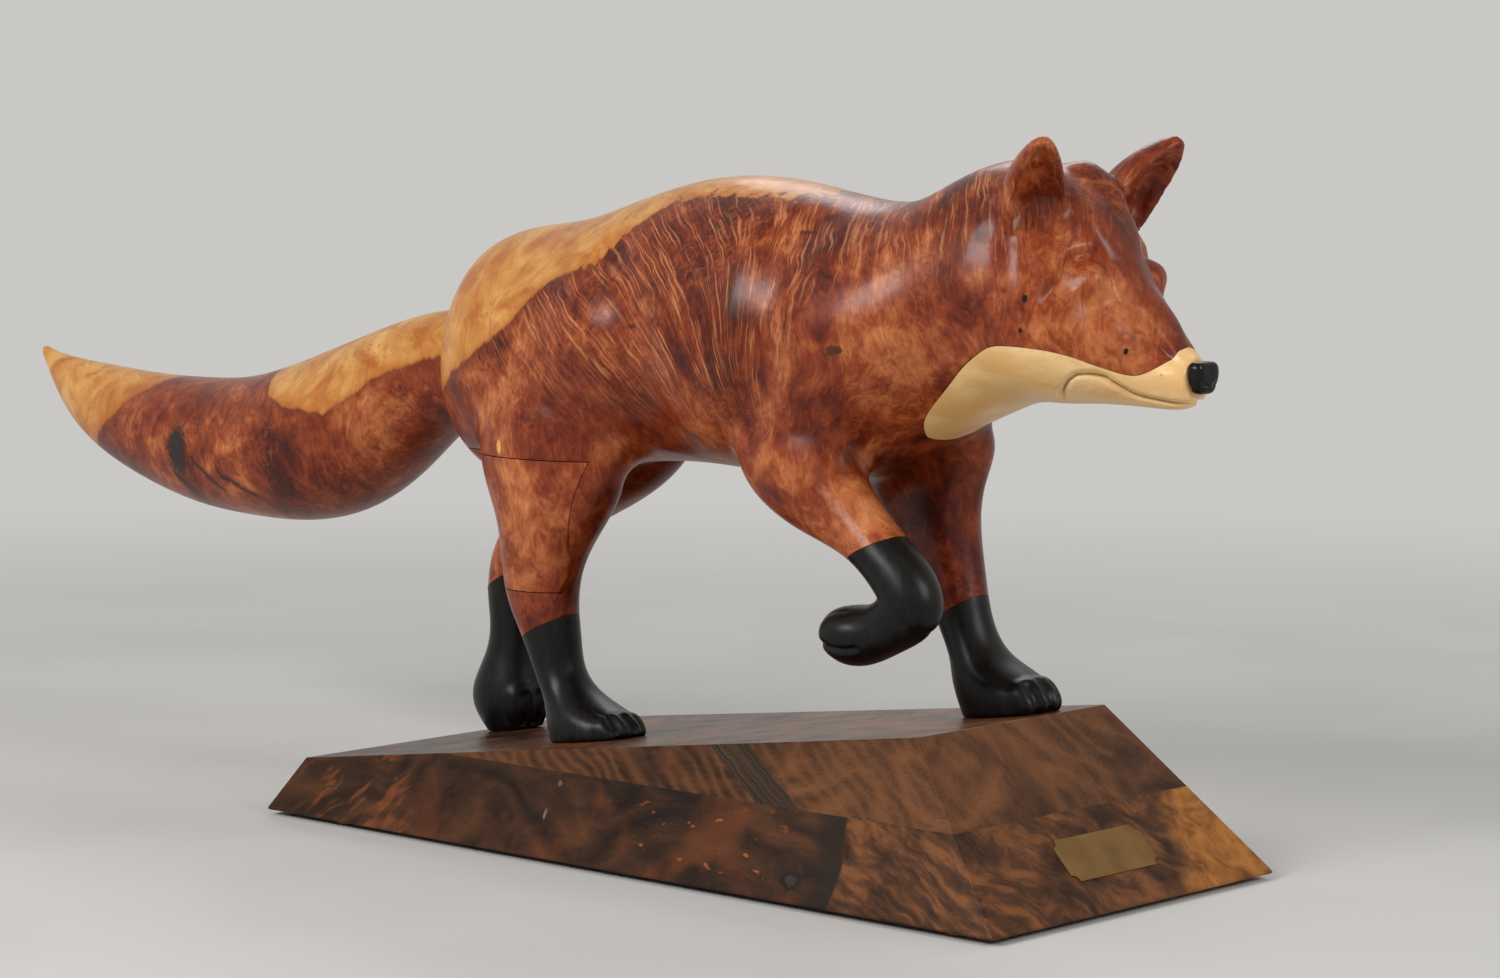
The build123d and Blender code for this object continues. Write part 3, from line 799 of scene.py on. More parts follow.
@dataclass(frozen=True)
class SlabWalnut(Walnut):
    """The dark lower board: flecked, with a lighter figured end and a honey corner."""

    pale_end: tuple[Pair, ...] = ((0.0, 0.444), (0.013, 0.4515), (0.03, 0.4535), (0.05, 0.448), (0.07, 0.444))
    corner_slant: float = 0.968
    corner_from: float = 0.0366
    flame: Colour = paint(150, 82, 44)
    fleck: Colour = paint(196, 108, 66)
    orange: Colour = paint(116, 62, 34)
    dark_edge: Colour = paint(38, 27, 20)
    deep_honey: Colour = paint(104, 60, 29)
    honey: Colour = paint(178, 115, 53)
    marks: tuple[Mark, ...] = (
        Mark((410, -158, -72), 11, 8, paint(34, 24, 18)),
        Mark((411, -158, -72), 6, 4, paint(60, 52, 45)),
        Mark((159, -140, -33), 2.4, 2.4, paint(112, 84, 64)),
        Mark((153, -150, -56), 1.6, 5, paint(128, 100, 78)),
    )

    def features(self, nodes: Nodes, wood: Field) -> Field:
        """The orange flames and flecks, the paler end, its dark edge, the corner and the knots.

        Args:
            nodes: The material's nodes.
            wood: The common figure's colour.

        Returns:
            The board's colour.
        """
        x, y, z = map(nodes.axis, "XYZ")
        drift = nodes.drifted(nodes.place, 16, 0.03)
        slanted = nodes.mapped(drift, (1, 1, 1), (0, 38, 0))
        flames = nodes.stretched(slanted, (22, 22, 80), 3, 0.6).rise(0.52, 0.68)
        rear = x.rise(-0.16, -0.08) * x.rise(0.06, 0.0)
        wood = nodes.mix(wood, self.flame, flames * rear * 0.5)
        orange = nodes.noise(drift, 18, 3).rise(0.5, 0.7)
        wood = nodes.mix(wood, self.orange, orange * x.rise(-0.05, 0.1) * 0.55)
        flecks = nodes.stretched(nodes.place, (75, 75, 150), 1.5).rise(0.665, 0.72)
        zone = x.rise(0.235, 0.27) * x.rise(0.4, 0.38) * z.rise(0.012, 0.024) * z.rise(0.066, 0.054)
        wood = nodes.mix(wood, self.fleck, flecks * zone * 0.6)
        past = x - nodes.line(z, self.pale_end) + nodes.wander(60, 2, 0.006)
        edge = past.rise(-0.034, -0.016) * past.rise(0.001, -0.001)
        wood = nodes.mix(wood, self.dark_edge, edge * (nodes.noise(drift, 40, 3) * 0.5 + 0.6))
        sheen = nodes.stretched(nodes.mapped(drift, (1, 1, 1), (18, -24, 0)), (26, 26, 110), 4, 0.62)
        pale = nodes.ramp(sheen, [(0.36, paint(50, 29, 16)), (0.5, paint(84, 51, 29)), (0.64, paint(128, 79, 44))])
        wood = nodes.mix(wood, pale, past.rise(-0.001, 0.002))
        corner = y - z * self.corner_slant - self.corner_from + nodes.wander(30, 4, 0.06)
        gold = nodes.ramp(nodes.noise(drift, 46, 4, 0.62, 0.6), [(0.36, self.deep_honey), (0.64, self.honey)])
        wood = nodes.mix(wood, gold, corner.rise(-0.004, 0.03) * past.rise(0.02, 0.05))
        return marked(nodes, wood, self.marks, nodes.noise(nodes.place, 260, 3) * 1.2 + 0.4)


@dataclass(frozen=True)
class WedgeWalnut(Walnut):
    """The rippled upper board, with one dark streak across it."""

    streak: Pair = (0.474, 0.519)
    streak_slant: float = 1.75

    def features(self, nodes: Nodes, wood: Field) -> Field:
        """The ripple and the streak.

        Args:
            nodes: The material's nodes.
            wood: The common figure's colour.

        Returns:
            The board's colour.
        """
        x, y, z = map(nodes.axis, "XYZ")
        waver = nodes.noise(nodes.place, 18, 3) * 0.03
        bands = ((x * 0.62 + y * 0.4 + z * 0.78 + waver) * 190).fold(1.0)
        patch = nodes.noise(nodes.place, 9, 2).rise(0.36, 0.56)
        wood = nodes.mix(wood, self.light, bands.rise(0.2, 0.95) * patch * 0.42)
        pebbles = nodes.cells(nodes.mapped(nodes.place, (1, 1, 1.6)), 420).rise(0.2, 0.6)
        wood = nodes.mix(wood, self.light, pebbles * patch * x.rise(0.3, 0.4) * 0.3)
        across = x + z * self.streak_slant + nodes.wander(40, 3, 0.012)
        low, high = self.streak
        inside = across.rise(low - 0.002, low + 0.003) * across.rise(high + 0.002, high - 0.004)
        lines = nodes.noise(nodes.joined(across * 330, y * 10, z * 10), 1, 3, 0.6)
        dark = nodes.ramp(lines, [(0.36, paint(34, 25, 19)), (0.64, paint(78, 58, 42))])
        return nodes.mix(wood, dark, inside * y.rise(-0.08, -0.1))


@dataclass(frozen=True)
class Metal:
    """Brass or steel, with fine rubbing and some tarnish."""

    name: str
    bright: Colour
    dull: Colour
    polish: float

    def material(self) -> bpy.types.Material:
        """Mixes the finish.

        Returns:
            The finished material.
        """
        nodes = Nodes(self.name)
        rub = nodes.stretched(nodes.place, (60, 500, 500), 3, 0.6)
        stain = nodes.noise(nodes.place, 28, 3, 0.55)
        metal = nodes.mix(self.bright, self.dull, stain.rise(0.3, 0.75))
        gloss = rub * 0.16 + stain * 0.1 + self.polish
        return nodes.dress(Base_Color=metal, Metallic=1.0, Roughness=gloss, Normal=nodes.relief(rub, 0.00004))


@dataclass(frozen=True)
class Dowel:
    """Plain straight-grained wood of the hidden dowels."""

    name: str = "dowel_wood"
    light: Colour = paint(196, 158, 110)
    dark: Colour = paint(160, 116, 72)

    def material(self) -> bpy.types.Material:
        """Mixes the finish.

        Returns:
            The finished material.
        """
        nodes = Nodes(self.name)
        grain = nodes.stretched(nodes.place, (30, 300, 300), 3, 0.6)
        wood = nodes.mix(self.light, self.dark, grain.rise(0.42, 0.66))
        return nodes.dress(Base_Color=wood, Roughness=grain * 0.2 + 0.5)


@dataclass(frozen=True)
class Stroke:
    """One soft pass along a line on a skin, in millimetres above the ground: pressed in, or drawn out below 0.

    A pass with an edge presses only the skin to the right of its line, and starts within that width.
    """

    line: tuple[Point, ...]
    reach: float
    press: float
    both_sides: bool = True
    edge: float = 0.0


class Bench:
    """Hand tools, each used on one object at a time."""

    WELD_WITHIN = 1e-6
    SMOOTH_FACTOR = 0.5
    END_FACING = 0.9995
    END_LEVEL = 0.0005
    LINE_STEPS = 12
    SPECK = 0.001

    @staticmethod
    def hold(obj: bpy.types.Object) -> None:
        """Puts everything else down and takes up one object.

        Args:
            obj: The object.
        """
        bpy.ops.object.select_all(action="DESELECT")
        obj.select_set(True)
        bpy.context.view_layer.objects.active = obj

    @classmethod
    def edit(cls, obj: bpy.types.Object, chosen: str = "SELECT") -> None:
        """Opens an object's mesh.

        Args:
            obj: The object.
            chosen: SELECT for all of the mesh, or DESELECT for none of it.
        """
        cls.hold(obj)
        bpy.ops.object.mode_set(mode="EDIT")
        bpy.ops.mesh.select_mode(type="VERT")
        bpy.ops.mesh.select_all(action=chosen)

    @classmethod
    def choose(cls, obj: bpy.types.Object, test: Callable[[bmesh.types.BMFace], bool]) -> None:
        """Opens an object's mesh with some of its faces selected.

        Args:
            obj: The object.
            test: Whether a face is selected.
        """
        cls.edit(obj, "DESELECT")
        bpy.ops.mesh.select_mode(type="FACE")
        for face in bmesh.from_edit_mesh(obj.data).faces:
            if test(face):
                face.select_set(True)
        bmesh.update_edit_mesh(obj.data)

    @staticmethod
    def done() -> None:
        """Closes the mesh."""
        bpy.ops.object.mode_set(mode="OBJECT")

    @classmethod
    def copy(cls, name: str, nodes: Iterable[str]) -> bpy.types.Object:
        """Copies of CAD nodes joined in one mesh.

        Args:
            name: The new object's name.
            nodes: The nodes to copy.

        Returns:
            The new object.
        """
        copies = [bpy.data.objects.new(name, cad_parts[node].data.copy()) for node in nodes]
        for copy in copies:
            copy.data.materials.clear()
            bpy.context.scene.collection.objects.link(copy)
        cls.hold(copies[0])
        for copy in copies:
            copy.select_set(True)
        bpy.ops.object.join()
        cls.edit(copies[0])
        bpy.ops.mesh.remove_doubles(threshold=cls.WELD_WITHIN)
        cls.done()
        return copies[0]

    @classmethod
    def finish_with(cls, obj: bpy.types.Object, kind: str, **settings: Any) -> None:
        """Adds a modifier and applies it.

        Args:
            obj: The object.
            kind: The modifier's type.
            **settings: Its settings.
        """
        cls.hold(obj)
        modifier = obj.modifiers.new(kind.lower(), kind)
        for key, value in settings.items():
            setattr(modifier, key, value)
        bpy.ops.object.modifier_apply(modifier=modifier.name)

    @classmethod
    def even(cls, obj: bpy.types.Object, voxel: float, rounds: int) -> None:
        """Makes one even skin of an object and smooths its facets away."""
        cls.finish_with(obj, "REMESH", mode="VOXEL", voxel_size=voxel)
        cls.soften(obj, rounds)

    @classmethod
    def soften(cls, obj: bpy.types.Object, rounds: int, part: str = "") -> None:
        """Smooths an object by some rounds, or only a part of it that was marked out."""
        cls.finish_with(obj, "SMOOTH", factor=cls.SMOOTH_FACTOR, iterations=rounds, vertex_group=part)

    @classmethod
    def cut(cls, obj: bpy.types.Object, cutter: bpy.types.Object, left: Cut) -> None:
        """Cuts an object with a closed mesh, which is used up."""
        cls.finish_with(obj, "BOOLEAN", object=cutter, operation=left.value, solver="MANIFOLD")
        bpy.data.objects.remove(cutter)

    @classmethod
    def stretch(cls, obj: bpy.types.Object, normal: Vector, far: float) -> None:
        """Draws the flat end that faces one way further out.

        Args:
            obj: The object.
            normal: The way the end faces.
            far: How far it is drawn, in metres.
        """
        ends = [face for face in obj.data.polygons if face.normal.dot(normal) > cls.END_FACING]
        level = max(face.center.dot(normal) for face in ends) - cls.END_LEVEL
        chosen = {face.index for face in ends if face.center.dot(normal) > level}
        cls.choose(obj, lambda face: face.index in chosen)
        bpy.ops.mesh.extrude_region_move(TRANSFORM_OT_translate={"value": normal * far})
        cls.done()

    @classmethod
    def slab(cls, name: str, middle: Vector, size: Point, turn: float = 0.0) -> bpy.types.Object:
        """A block to cut with, turned about the Y axis.

        Args:
            name: Its name.
            middle: Its middle.
            size: Its size along each axis.
            turn: Degrees about Y.

        Returns:
            The block.
        """
        bpy.ops.object.select_all(action="DESELECT")
        bpy.ops.mesh.primitive_cube_add(size=1, location=middle, rotation=(0, math.radians(turn), 0), scale=size)
        block = bpy.context.object
        block.name = name
        bpy.ops.object.transform_apply(location=True, rotation=True, scale=True)
        return block

    @classmethod
    def prism(cls, name: str, outline: list[Vector], wide: float) -> bpy.types.Object:
        """A cutter with an outline drawn from the side and its thickness across.

        Args:
            name: Its name.
            outline: Its corners in order, on its right side.
            wide: Its thickness along Y.

        Returns:
            The cutter.
        """
        bpy.ops.object.select_all(action="DESELECT")
        bpy.ops.mesh.primitive_plane_add(size=cls.SPECK, location=outline[0])
        piece = bpy.context.object
        piece.name = name
        bpy.ops.object.transform_apply(location=True)
        cls.edit(piece)
        bpy.ops.mesh.merge(type="CENTER")
        for a, b in zip(outline, outline[1:]):
            bpy.ops.mesh.extrude_vertices_move(TRANSFORM_OT_translate={"value": b - a})
        bpy.ops.mesh.select_all(action="SELECT")
        bpy.ops.mesh.edge_face_add()
        bpy.ops.mesh.extrude_region_move(TRANSFORM_OT_translate={"value": (0, wide, 0)})
        bpy.ops.mesh.select_all(action="SELECT")
        bpy.ops.mesh.normals_make_consistent(inside=False)
        cls.done()
        return piece

    @staticmethod
    def mark_out(obj: bpy.types.Object, name: str, share: Callable[[Vector], float]) -> str:
        """Marks out a part of a mesh.

        Args:
            obj: The object.
            name: The mark's name.
            share: How far a point belongs to the part, from 0 to 1.

        Returns:
            The mark's name.
        """
        group = obj.vertex_groups.new(name=name)
        for vert in obj.data.vertices:
            group.add([vert.index], share(vert.co), "REPLACE")
        return group.name

    @classmethod
    def carve(cls, obj: bpy.types.Object, strokes: Iterable[Stroke]) -> None:
        """Shapes a skin along lines that are laid on it.

        Args:
            obj: The object.
            strokes: The passes, in order.
        """
        mesh = bmesh.new()
        mesh.from_mesh(obj.data)
        mesh.verts.ensure_lookup_table()
        surface = BVHTree.FromBMesh(mesh)
        verts = KDTree(len(mesh.verts))
        for vert in mesh.verts:
            verts.insert(vert.co, vert.index)
        verts.balance()
        for stroke in strokes:
            for side in (1, -1) if stroke.both_sides else (1,):
                points = [above_ground(x, side * y, height) for x, y, height in stroke.line]
                line = flowing(points, cls.LINE_STEPS) if len(points) > 1 else points
                laid = [surface.find_nearest(point)[:2] for point in line]
                cls._press(mesh, verts, laid, stroke, side)
        mesh.to_mesh(obj.data)
        mesh.free()

    @staticmethod
    def _press(
        mesh: bmesh.types.BMesh, verts: KDTree, laid: list[tuple[Vector, Vector]], stroke: Stroke, side: int
    ) -> None:
        """Moves the skin near a line along its own normals, most on the line itself.

        Args:
            mesh: The skin.
            verts: Its corners, to be found by their place.
            laid: The line's points on the skin and the skin's normals there.
            stroke: The pass.
            side: 1, or -1 where the line is mirrored.
        """
        reach = stroke.reach / 1000
        nearest: dict[int, tuple[float, int]] = {}
        for number, (point, _) in enumerate(laid):
            for _, index, distance in verts.find_range(point, reach):
                if distance < nearest.get(index, (reach, 0))[0]:
                    nearest[index] = (distance, number)
        for index, (distance, number) in nearest.items():
            vert = mesh.verts[index]
            point, normal = laid[number]
            share = (1 - (distance / reach) ** 2) ** 2 * eased(vert.normal.dot(normal), 0.0, 0.5)
            if stroke.edge:
                along = laid[min(number + 1, len(laid) - 1)][0] - laid[max(number - 1, 0)][0]
                out = (vert.co - point).dot(along.cross(normal).normalized()) * side * 1000 / stroke.edge
                rise = eased(out, 0.0, 1.0)
                share *= rise * rise * (3 - 2 * rise)
            vert.co -= vert.normal * (stroke.press / 1000 * share)

    @classmethod
    def put(
        cls, piece: bpy.types.Object, nodes: Iterable[str], slot: str, material: bpy.types.Material, angle: float = 40
    ) -> None:
        """Finishes a piece: smooth shading, its material and its place in the frame.

        Args:
            piece: The piece.
            nodes: The CAD nodes that it stands for.
            slot: Not used.
            material: Its material.
            angle: Degrees above which an edge stays sharp.
        """
        piece.data.materials.clear()
        piece.data.materials.append(material)
        cls.hold(piece)
        bpy.ops.object.shade_smooth_by_angle(angle=math.radians(angle))
        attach(piece, "root")
        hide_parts(*nodes)
        LOG.info("%s: %d faces", piece.name, len(piece.data.polygons))


@dataclass(frozen=True)
class Cuff:
    """The slanted plane where a leg meets its black paw, and a block that holds the paw."""

    paw: str
    pin: str
    middle: Vector
    rise: float
    low: Pair
    high: Pair
    tall: float = 0.3

    @property
    def normal(self) -> Vector:
        """The way up the leg."""
        slant = math.radians(self.rise)
        return Vector((-math.sin(slant), 0, math.cos(slant)))

    def block(self, gap: float) -> bpy.types.Object:
        """A block with the paw inside it.

        Args:
            gap: How far its top stands above the cuff, in metres.

        Returns:
            The block.
        """
        middle = self.middle + self.normal * (gap - self.tall / 2)
        middle.y = (self.low[1] + self.high[1]) / 2
        size = (self.high[0] - self.low[0], self.high[1] - self.low[1], self.tall)
        return Bench.slab(self.paw + "_block", middle, size, -self.rise)


CUFFS = (
    Cuff("paw_right_hind", "stud_right_hind", Vector((0.068, -0.054, 0.1635)), 26, (-0.05, -0.13), (0.19, -0.005)),
    Cuff("paw_left_hind", "stud_left_hind", Vector((-0.086, 0.052, 0.1817)), 26, (-0.2, 0.005), (0.0, 0.13)),
    Cuff("paw_left_fore", "stud_left_fore", Vector((0.395, 0.053, 0.1938)), 33, (0.3, 0.005), (0.53, 0.13)),
    Cuff("paw_right_fore", "wrist_dowel", Vector((0.407, -0.058, 0.2502)), 26, (0.3, -0.12), (0.5, -0.005)),
)


@dataclass
class Carving:
    """The carved fox: one skin over its joined pieces, shaped and cut again at the seams."""

    voxel: float = 0.0031
    smoothing: int = 7
    seam: float = 0.0002
    inlay_seam: float = 0.0004
    half_width: float = 0.165
    front: float = 0.67
    head_from: float = 0.515
    head_full: float = 0.54
    head_rounds: int = 6
    face_along: Pair = (0.51, 0.53)
    face_height: Pair = (0.31, 0.34)
    face_rounds: int = 14
    ear_off_middle: float = 0.034
    ear_height: Pair = (0.392, 0.404)
    ear_rounds: int = 10
    root_at: Point = (553, 36, 420)
    root_reach: Pair = (0.026, 0.012)
    root_rounds: int = 25
    sharp_angle: float = 70
    bib: tuple[Pair, ...] = (
        (424, 238), (440, 255), (468, 277), (491, 294), (514, 306), (530, 310.5), (549, 310.5), (566, 308.5),
        (580, 304.5), (594, 298), (607, 292.5), (617, 291.5), (628, 296.5), (637, 305), (641, 314), (644, 326),
    )
    bib_floor: float = 233.5
    inlay_corners: tuple[Pair, ...] = ((-68, 206), (130, 206), (86, 100), (-68, 100))
    inlay_depth: float = -0.048
    trunk_strokes: tuple[Stroke, ...] = (
        Stroke(
            ((159, -86, 355), (180, -94, 333), (191, -97, 313), (197, -96, 288), (196, -88, 258), (200, -74, 232)),
            40,
            6,
        ),
        Stroke(
            ((336, -68, 386), (334, -84, 366), (334, -96, 338), (327, -100, 303), (315, -98, 273), (300, -86, 247)),
            36,
            6,
        ),
        Stroke(((138, -95, 303), (120, -95, 280), (100, -94, 255)), 62, -5),
        Stroke(((405, -91, 318), (396, -93, 300)), 62, -4),
        Stroke(((524, -82, 405), (523, -80, 375), (514, -80, 335)), 26, 3),
    )
    head_strokes: tuple[Stroke, ...] = (
        Stroke(((531, 0, 435), (541, 0, 434)), 40, 5, both_sides=False),
        Stroke(((536, 17, 428), (546, 20, 425), (553, 24, 419)), 25, -8, both_sides=False),
        Stroke(((556, -47, 410), (563, -40, 401), (572, -36, 391)), 16, 2),
        Stroke(((535, -73, 394), (541, -71, 373), (552, -72, 349)), 20, -2.2),
        Stroke(((556, -54, 392), (559, -59, 376), (563, -64, 352)), 20, 2),
        Stroke(((591, -46, 316), (579, -56, 322), (567, -66, 320)), 24, -1.4),
        Stroke(((591, -41, 340), (590, -44, 333)), 18, 2.4),
        Stroke(
            (
                (563, -60, 360), (566, -54, 370), (569, -46, 377), (573, -37, 381.5), (578, -27, 381.5),
                (584, -21, 375.5), (591, -17.5, 365.5), (598, -17.5, 355.5), (612, -15, 338), (624, -12.5, 325),
                (632, -11, 316),
            ),
            27,
            8,
            edge=8,
        ),
        Stroke(((586, -35, 360),), 22, -8),
    )
    ear_strokes: tuple[Stroke, ...] = (
        Stroke(((545, -70, 410), (557, -80, 422), (565, -83, 434), (571, -82, 444)), 11, 5, both_sides=False),
        Stroke(((544, 66, 408), (550, 66, 420), (560, 68, 434)), 12, 4, both_sides=False),
    )
    lip: tuple[Stroke, ...] = (
        Stroke(
            (
                (557, -37, 273), (563, -43, 279), (570, -49, 284), (577, -52, 289), (585, -50, 292), (595, -42, 291),
                (600, -36, 287), (605, -30, 282.5), (613, -22, 277), (626, -16, 274), (641, -10, 272), (649, -4, 272),
            ),
            3.8,
            2.8,
        ),
    )
    lip_shadow: Colour = paint(140, 92, 50)
    lip_width: float = 1.7
    body_tones_and_light: tuple[Tone, ...] = (
        Tone((404, -60, 172), 90, 0.22),
        # Partly the haunch's paler wood, partly a painted highlight on the haunch.
        Tone((70, -92, 250), 110, 0.06),
        # Partly the shoulder's paler wood, partly a painted highlight on the shoulder.
        Tone((420, -95, 300), 110, 0.07),
        # Partly the face's golden tone, partly a painted sheen on the cheek.
        Tone((590, -45, 330), 85, 0.1),
        # Painted shade low on the far side, over the chest and far foreleg.
        Tone((380, 54, 150), 150, -0.1),
        Tone((300, -60, 400), 110, -0.04),
    )
    # Half-widths of the strip of painted shade along the bridge of the nose, by distance along the fox.
    painted_bridge_shade: tuple[Pair, ...] = (
        (0.555, 0.04), (0.573, 0.03), (0.584, 0.021), (0.591, 0.0175), (0.598, 0.017), (0.612, 0.0145),
        (0.632, 0.0105), (0.65, 0.009),
    )
    body_marks: tuple[Mark, ...] = (
        Mark((553, -72, 344), 2.2, 3.8),
        Mark((551, -75, 322), 1.8, 2.4),
        Mark((610, -32, 308), 1.7, 2.8),
        Mark((530, -67, 389), 2, 1.8, paint(70, 34, 22)),
        Mark((397, -93, 303), 8, 5, paint(84, 38, 24)),
        Mark((191, -99, 313), 6, 3, paint(66, 28, 18)),
        Mark((59, -65, 362), 2.4, 3.2),
        Mark((46, -94, 214), 3, 6, paint(226, 170, 96)),
        Mark((338, -72, 386), 12, 2.5, paint(70, 32, 20)),
    )
    inlay_burl: Burl = Burl("burl_inlay", shift=(0.31, 0.2, 0.47), tones=(Tone((60, -80, 150), 160, 0.1),))

    @property
    def nodes(self) -> list[str]:
        """The CAD nodes under the skin."""
        pinned = [name for cuff in CUFFS for name in (cuff.paw, cuff.pin)]
        return ["body", "throat", "hind_leg_inlay", "tail_dowel", "nose_peg", *pinned]

    def skin(self) -> bpy.types.Object:
        """Lays one smooth skin over body, throat, inlay and paws.

        Returns:
            The skin.
        """
        skin = Bench.copy("body_carving", self.nodes)
        Bench.even(skin, self.voxel, self.smoothing)
        return skin

    def refine_head(self, skin: bpy.types.Object) -> None:
        """Gives the head a finer skin, laid on the CAD again and smoothed.

        Args:
            skin: The skin.
        """
        Bench.choose(skin, lambda face: face.calc_center_median().x > self.head_from)
        bpy.ops.mesh.subdivide(number_cuts=1)
        Bench.done()
        head = Bench.mark_out(skin, "head", lambda at: self.forward(at) * (1 - self.ear(at)))
        model = Bench.copy("head_model", self.nodes)
        Bench.finish_with(skin, "SHRINKWRAP", target=model, wrap_method="NEAREST_SURFACEPOINT", vertex_group=head)
        bpy.data.objects.remove(model)
        Bench.soften(skin, self.head_rounds, head)
        ears = Bench.mark_out(skin, "ears", lambda at: self.forward(at) * self.ear(at))
        Bench.soften(skin, self.ear_rounds, ears)

    def forward(self, at: Vector) -> float:
        """How far a point belongs to the head, ears and all."""
        return eased(at.x, self.head_from, self.head_full)

    def ear(self, at: Vector) -> float:
        """How far a point belongs to an ear."""
        return eased(at.z - GROUND, *self.ear_height) if abs(at.y) > self.ear_off_middle else 0.0

    def ear_root(self, at: Vector) -> float:
        """How far a point belongs to the far ear's root."""
        return eased((at - above_ground(*self.root_at)).length, *self.root_reach)

    def face(self, at: Vector) -> float:
        """How far a point belongs to the face."""
        return eased(at.x, *self.face_along) * eased(at.z - GROUND, *self.face_height)

    def outline(self, points: Iterable[Pair]) -> list[Vector]:
        """Points beside the fox's right side, from millimetres along and above the ground."""
        return [above_ground(x, -self.half_width * 1000, height) for x, height in points]

    def throat_cutter(self, shift: float) -> bpy.types.Object:
        """Everything below the bib's seam.

        Args:
            shift: How far the seam is shifted upwards, in metres.

        Returns:
            The cutter.
        """
        line = flowing([point + Vector((0, 0, shift)) for point in self.outline(self.bib)])
        floor = GROUND + self.bib_floor / 1000
        corners = [(self.front, line[-1].z), (self.front, floor), (line[0].x - shift, floor)]
        line += [Vector((x, -self.half_width, z)) for x, z in corners]
        return Bench.prism("throat_cutter", line, 2 * self.half_width)

    def inlay_cutter(self, gap: float) -> bpy.types.Object:
        """The space of the block that is let into the hind leg.

        Args:
            gap: How far it is grown, in metres.

        Returns:
            The cutter.
        """
        (x0, top), (x1, _), (x2, low), _ = self.inlay_corners
        grow = gap * 1000
        grown = [(x0, top + grow), (x1 + grow, top + grow), (x2 + grow, low - grow), (x0, low - grow)]
        return Bench.prism("inlay_cutter", self.outline(grown), self.inlay_depth + self.half_width)

    def build(self) -> None:
        """Builds and dresses the body, the throat and the inlay."""
        body = self.skin()
        self.refine_head(body)
        Bench.carve(body, self.trunk_strokes + self.head_strokes + self.ear_strokes)
        for name, share, rounds in (
            ("face", self.face, self.face_rounds),
            ("rims", self.ear, self.ear_rounds),
            ("ear_root", self.ear_root, self.root_rounds),
        ):
            Bench.soften(body, rounds, Bench.mark_out(body, name, share))
        Bench.carve(body, self.lip)
        Bench.soften(body, 1)
        throat = self.part(body, "throat_carving", self.throat_cutter(-self.seam))
        Bench.cut(body, self.throat_cutter(self.seam), Cut.AWAY)
        for cuff in CUFFS:
            Bench.cut(body, cuff.block(self.seam), Cut.AWAY)
        inlay = self.part(body, "hind_leg_inlay_block", self.inlay_cutter(-self.inlay_seam))
        Bench.cut(body, self.inlay_cutter(self.inlay_seam), Cut.AWAY)
        burl = Burl("burl_body", tones=self.body_tones_and_light, marks=self.body_marks, hanging=1.0, painted_bridge_shade=self.painted_bridge_shade)
        Bench.put(body, ["body"], "burl", burl.material(Honey.back), self.sharp_angle)
        # A painted shadow line along the lip's groove, drawn on the pale throat.
        lip = Vein(tuple((x, height) for x, _, height in self.lip[0].line), self.lip_width, self.lip_shadow)
        Bench.put(throat, ["throat"], "pale_wood", PaleWood(veins_and_shadows=(lip,)).material())
        Bench.put(inlay, ["hind_leg_inlay"], "burl", self.inlay_burl.material())

    @staticmethod
    def part(body: bpy.types.Object, name: str, cutter: bpy.types.Object) -> bpy.types.Object:
        """The piece of a carving that lies in a cutter.

        Args:
            body: The whole carving, which stays as it is.
            name: The piece's name.
            cutter: The cutter.

        Returns:
            The piece.
        """
        piece = bpy.data.objects.new(name, body.data.copy())
        bpy.context.scene.collection.objects.link(piece)
        Bench.cut(piece, cutter, Cut.INSIDE)
        return piece


@dataclass
class Tail:
    """The joined tail, drawn a little into the rump so that its seam closes."""

    voxel: float = 0.003
    smoothing: int = 8
    into_rump: float = 0.006
    tones: tuple[Tone, ...] = (
        Tone((-230, -60, 150), 150, -0.05),
        Tone((-261, -60, 181), 48, -0.14),
        Tone((-304, -61, 196), 55, 0.12),
        # Painted sheen on the tail near its root.
        Tone((-155, -53, 222), 70, 0.08),
        Tone((-330, -50, 150), 60, 0.1),
        Tone((-442, -51, 199), 50, -0.06),
    )
    marks: tuple[Mark | Vein, ...] = (
        Vein(((-414, 168), (-404, 158), (-393, 148), (-380, 141)), 13, paint(58, 22, 14), 6),
        Vein(((-386, 181), (-365, 167), (-351, 158), (-335, 147)), 5, paint(62, 24, 15), 7),
        Vein(((-348, 170), (-330, 162), (-312, 154), (-290, 145)), 5, paint(62, 24, 15), 6),
        Mark((-400, -54, 183), 16, 27, paint(54, 22, 14)),
        Mark((-401, -54, 184), 10, 19, paint(38, 34, 33)),
        Mark((-530, -30, 222), 5, 7, paint(150, 84, 36)),
    )

    def build(self) -> None:
        """Builds and dresses the tail."""
        tail = Bench.copy("tail_carving", ["tail"])
        Bench.stretch(tail, Vector((1, 0, 0)), self.into_rump)
        Bench.even(tail, self.voxel, self.smoothing)
        burl = Burl("burl_tail", shift=(0.13, 0.42, 0.06), tones=self.tones, marks=self.marks)
        Bench.put(tail, ["tail"], "burl", burl.material(Honey.tail))


@dataclass
class Nose:
    """The polished black nose: a soft block with two nostrils."""

    voxel: float = 0.0006
    smoothing: int = 110
    softening: int = 2
    black: BlackWood = BlackWood("black_gloss", 0.06)
    nostrils: tuple[Stroke, ...] = (Stroke(((659, -4.5, 285), (658, -7.5, 286)), 2.6, 1.3),)

    def build(self) -> None:
        """Builds and dresses the nose."""
        nose = Bench.copy("nose_carving", ["nose"])
        Bench.even(nose, self.voxel, self.smoothing)
        Bench.carve(nose, self.nostrils)
        Bench.soften(nose, self.softening)
        Bench.put(nose, ["nose"], "black_nose", self.black.material())


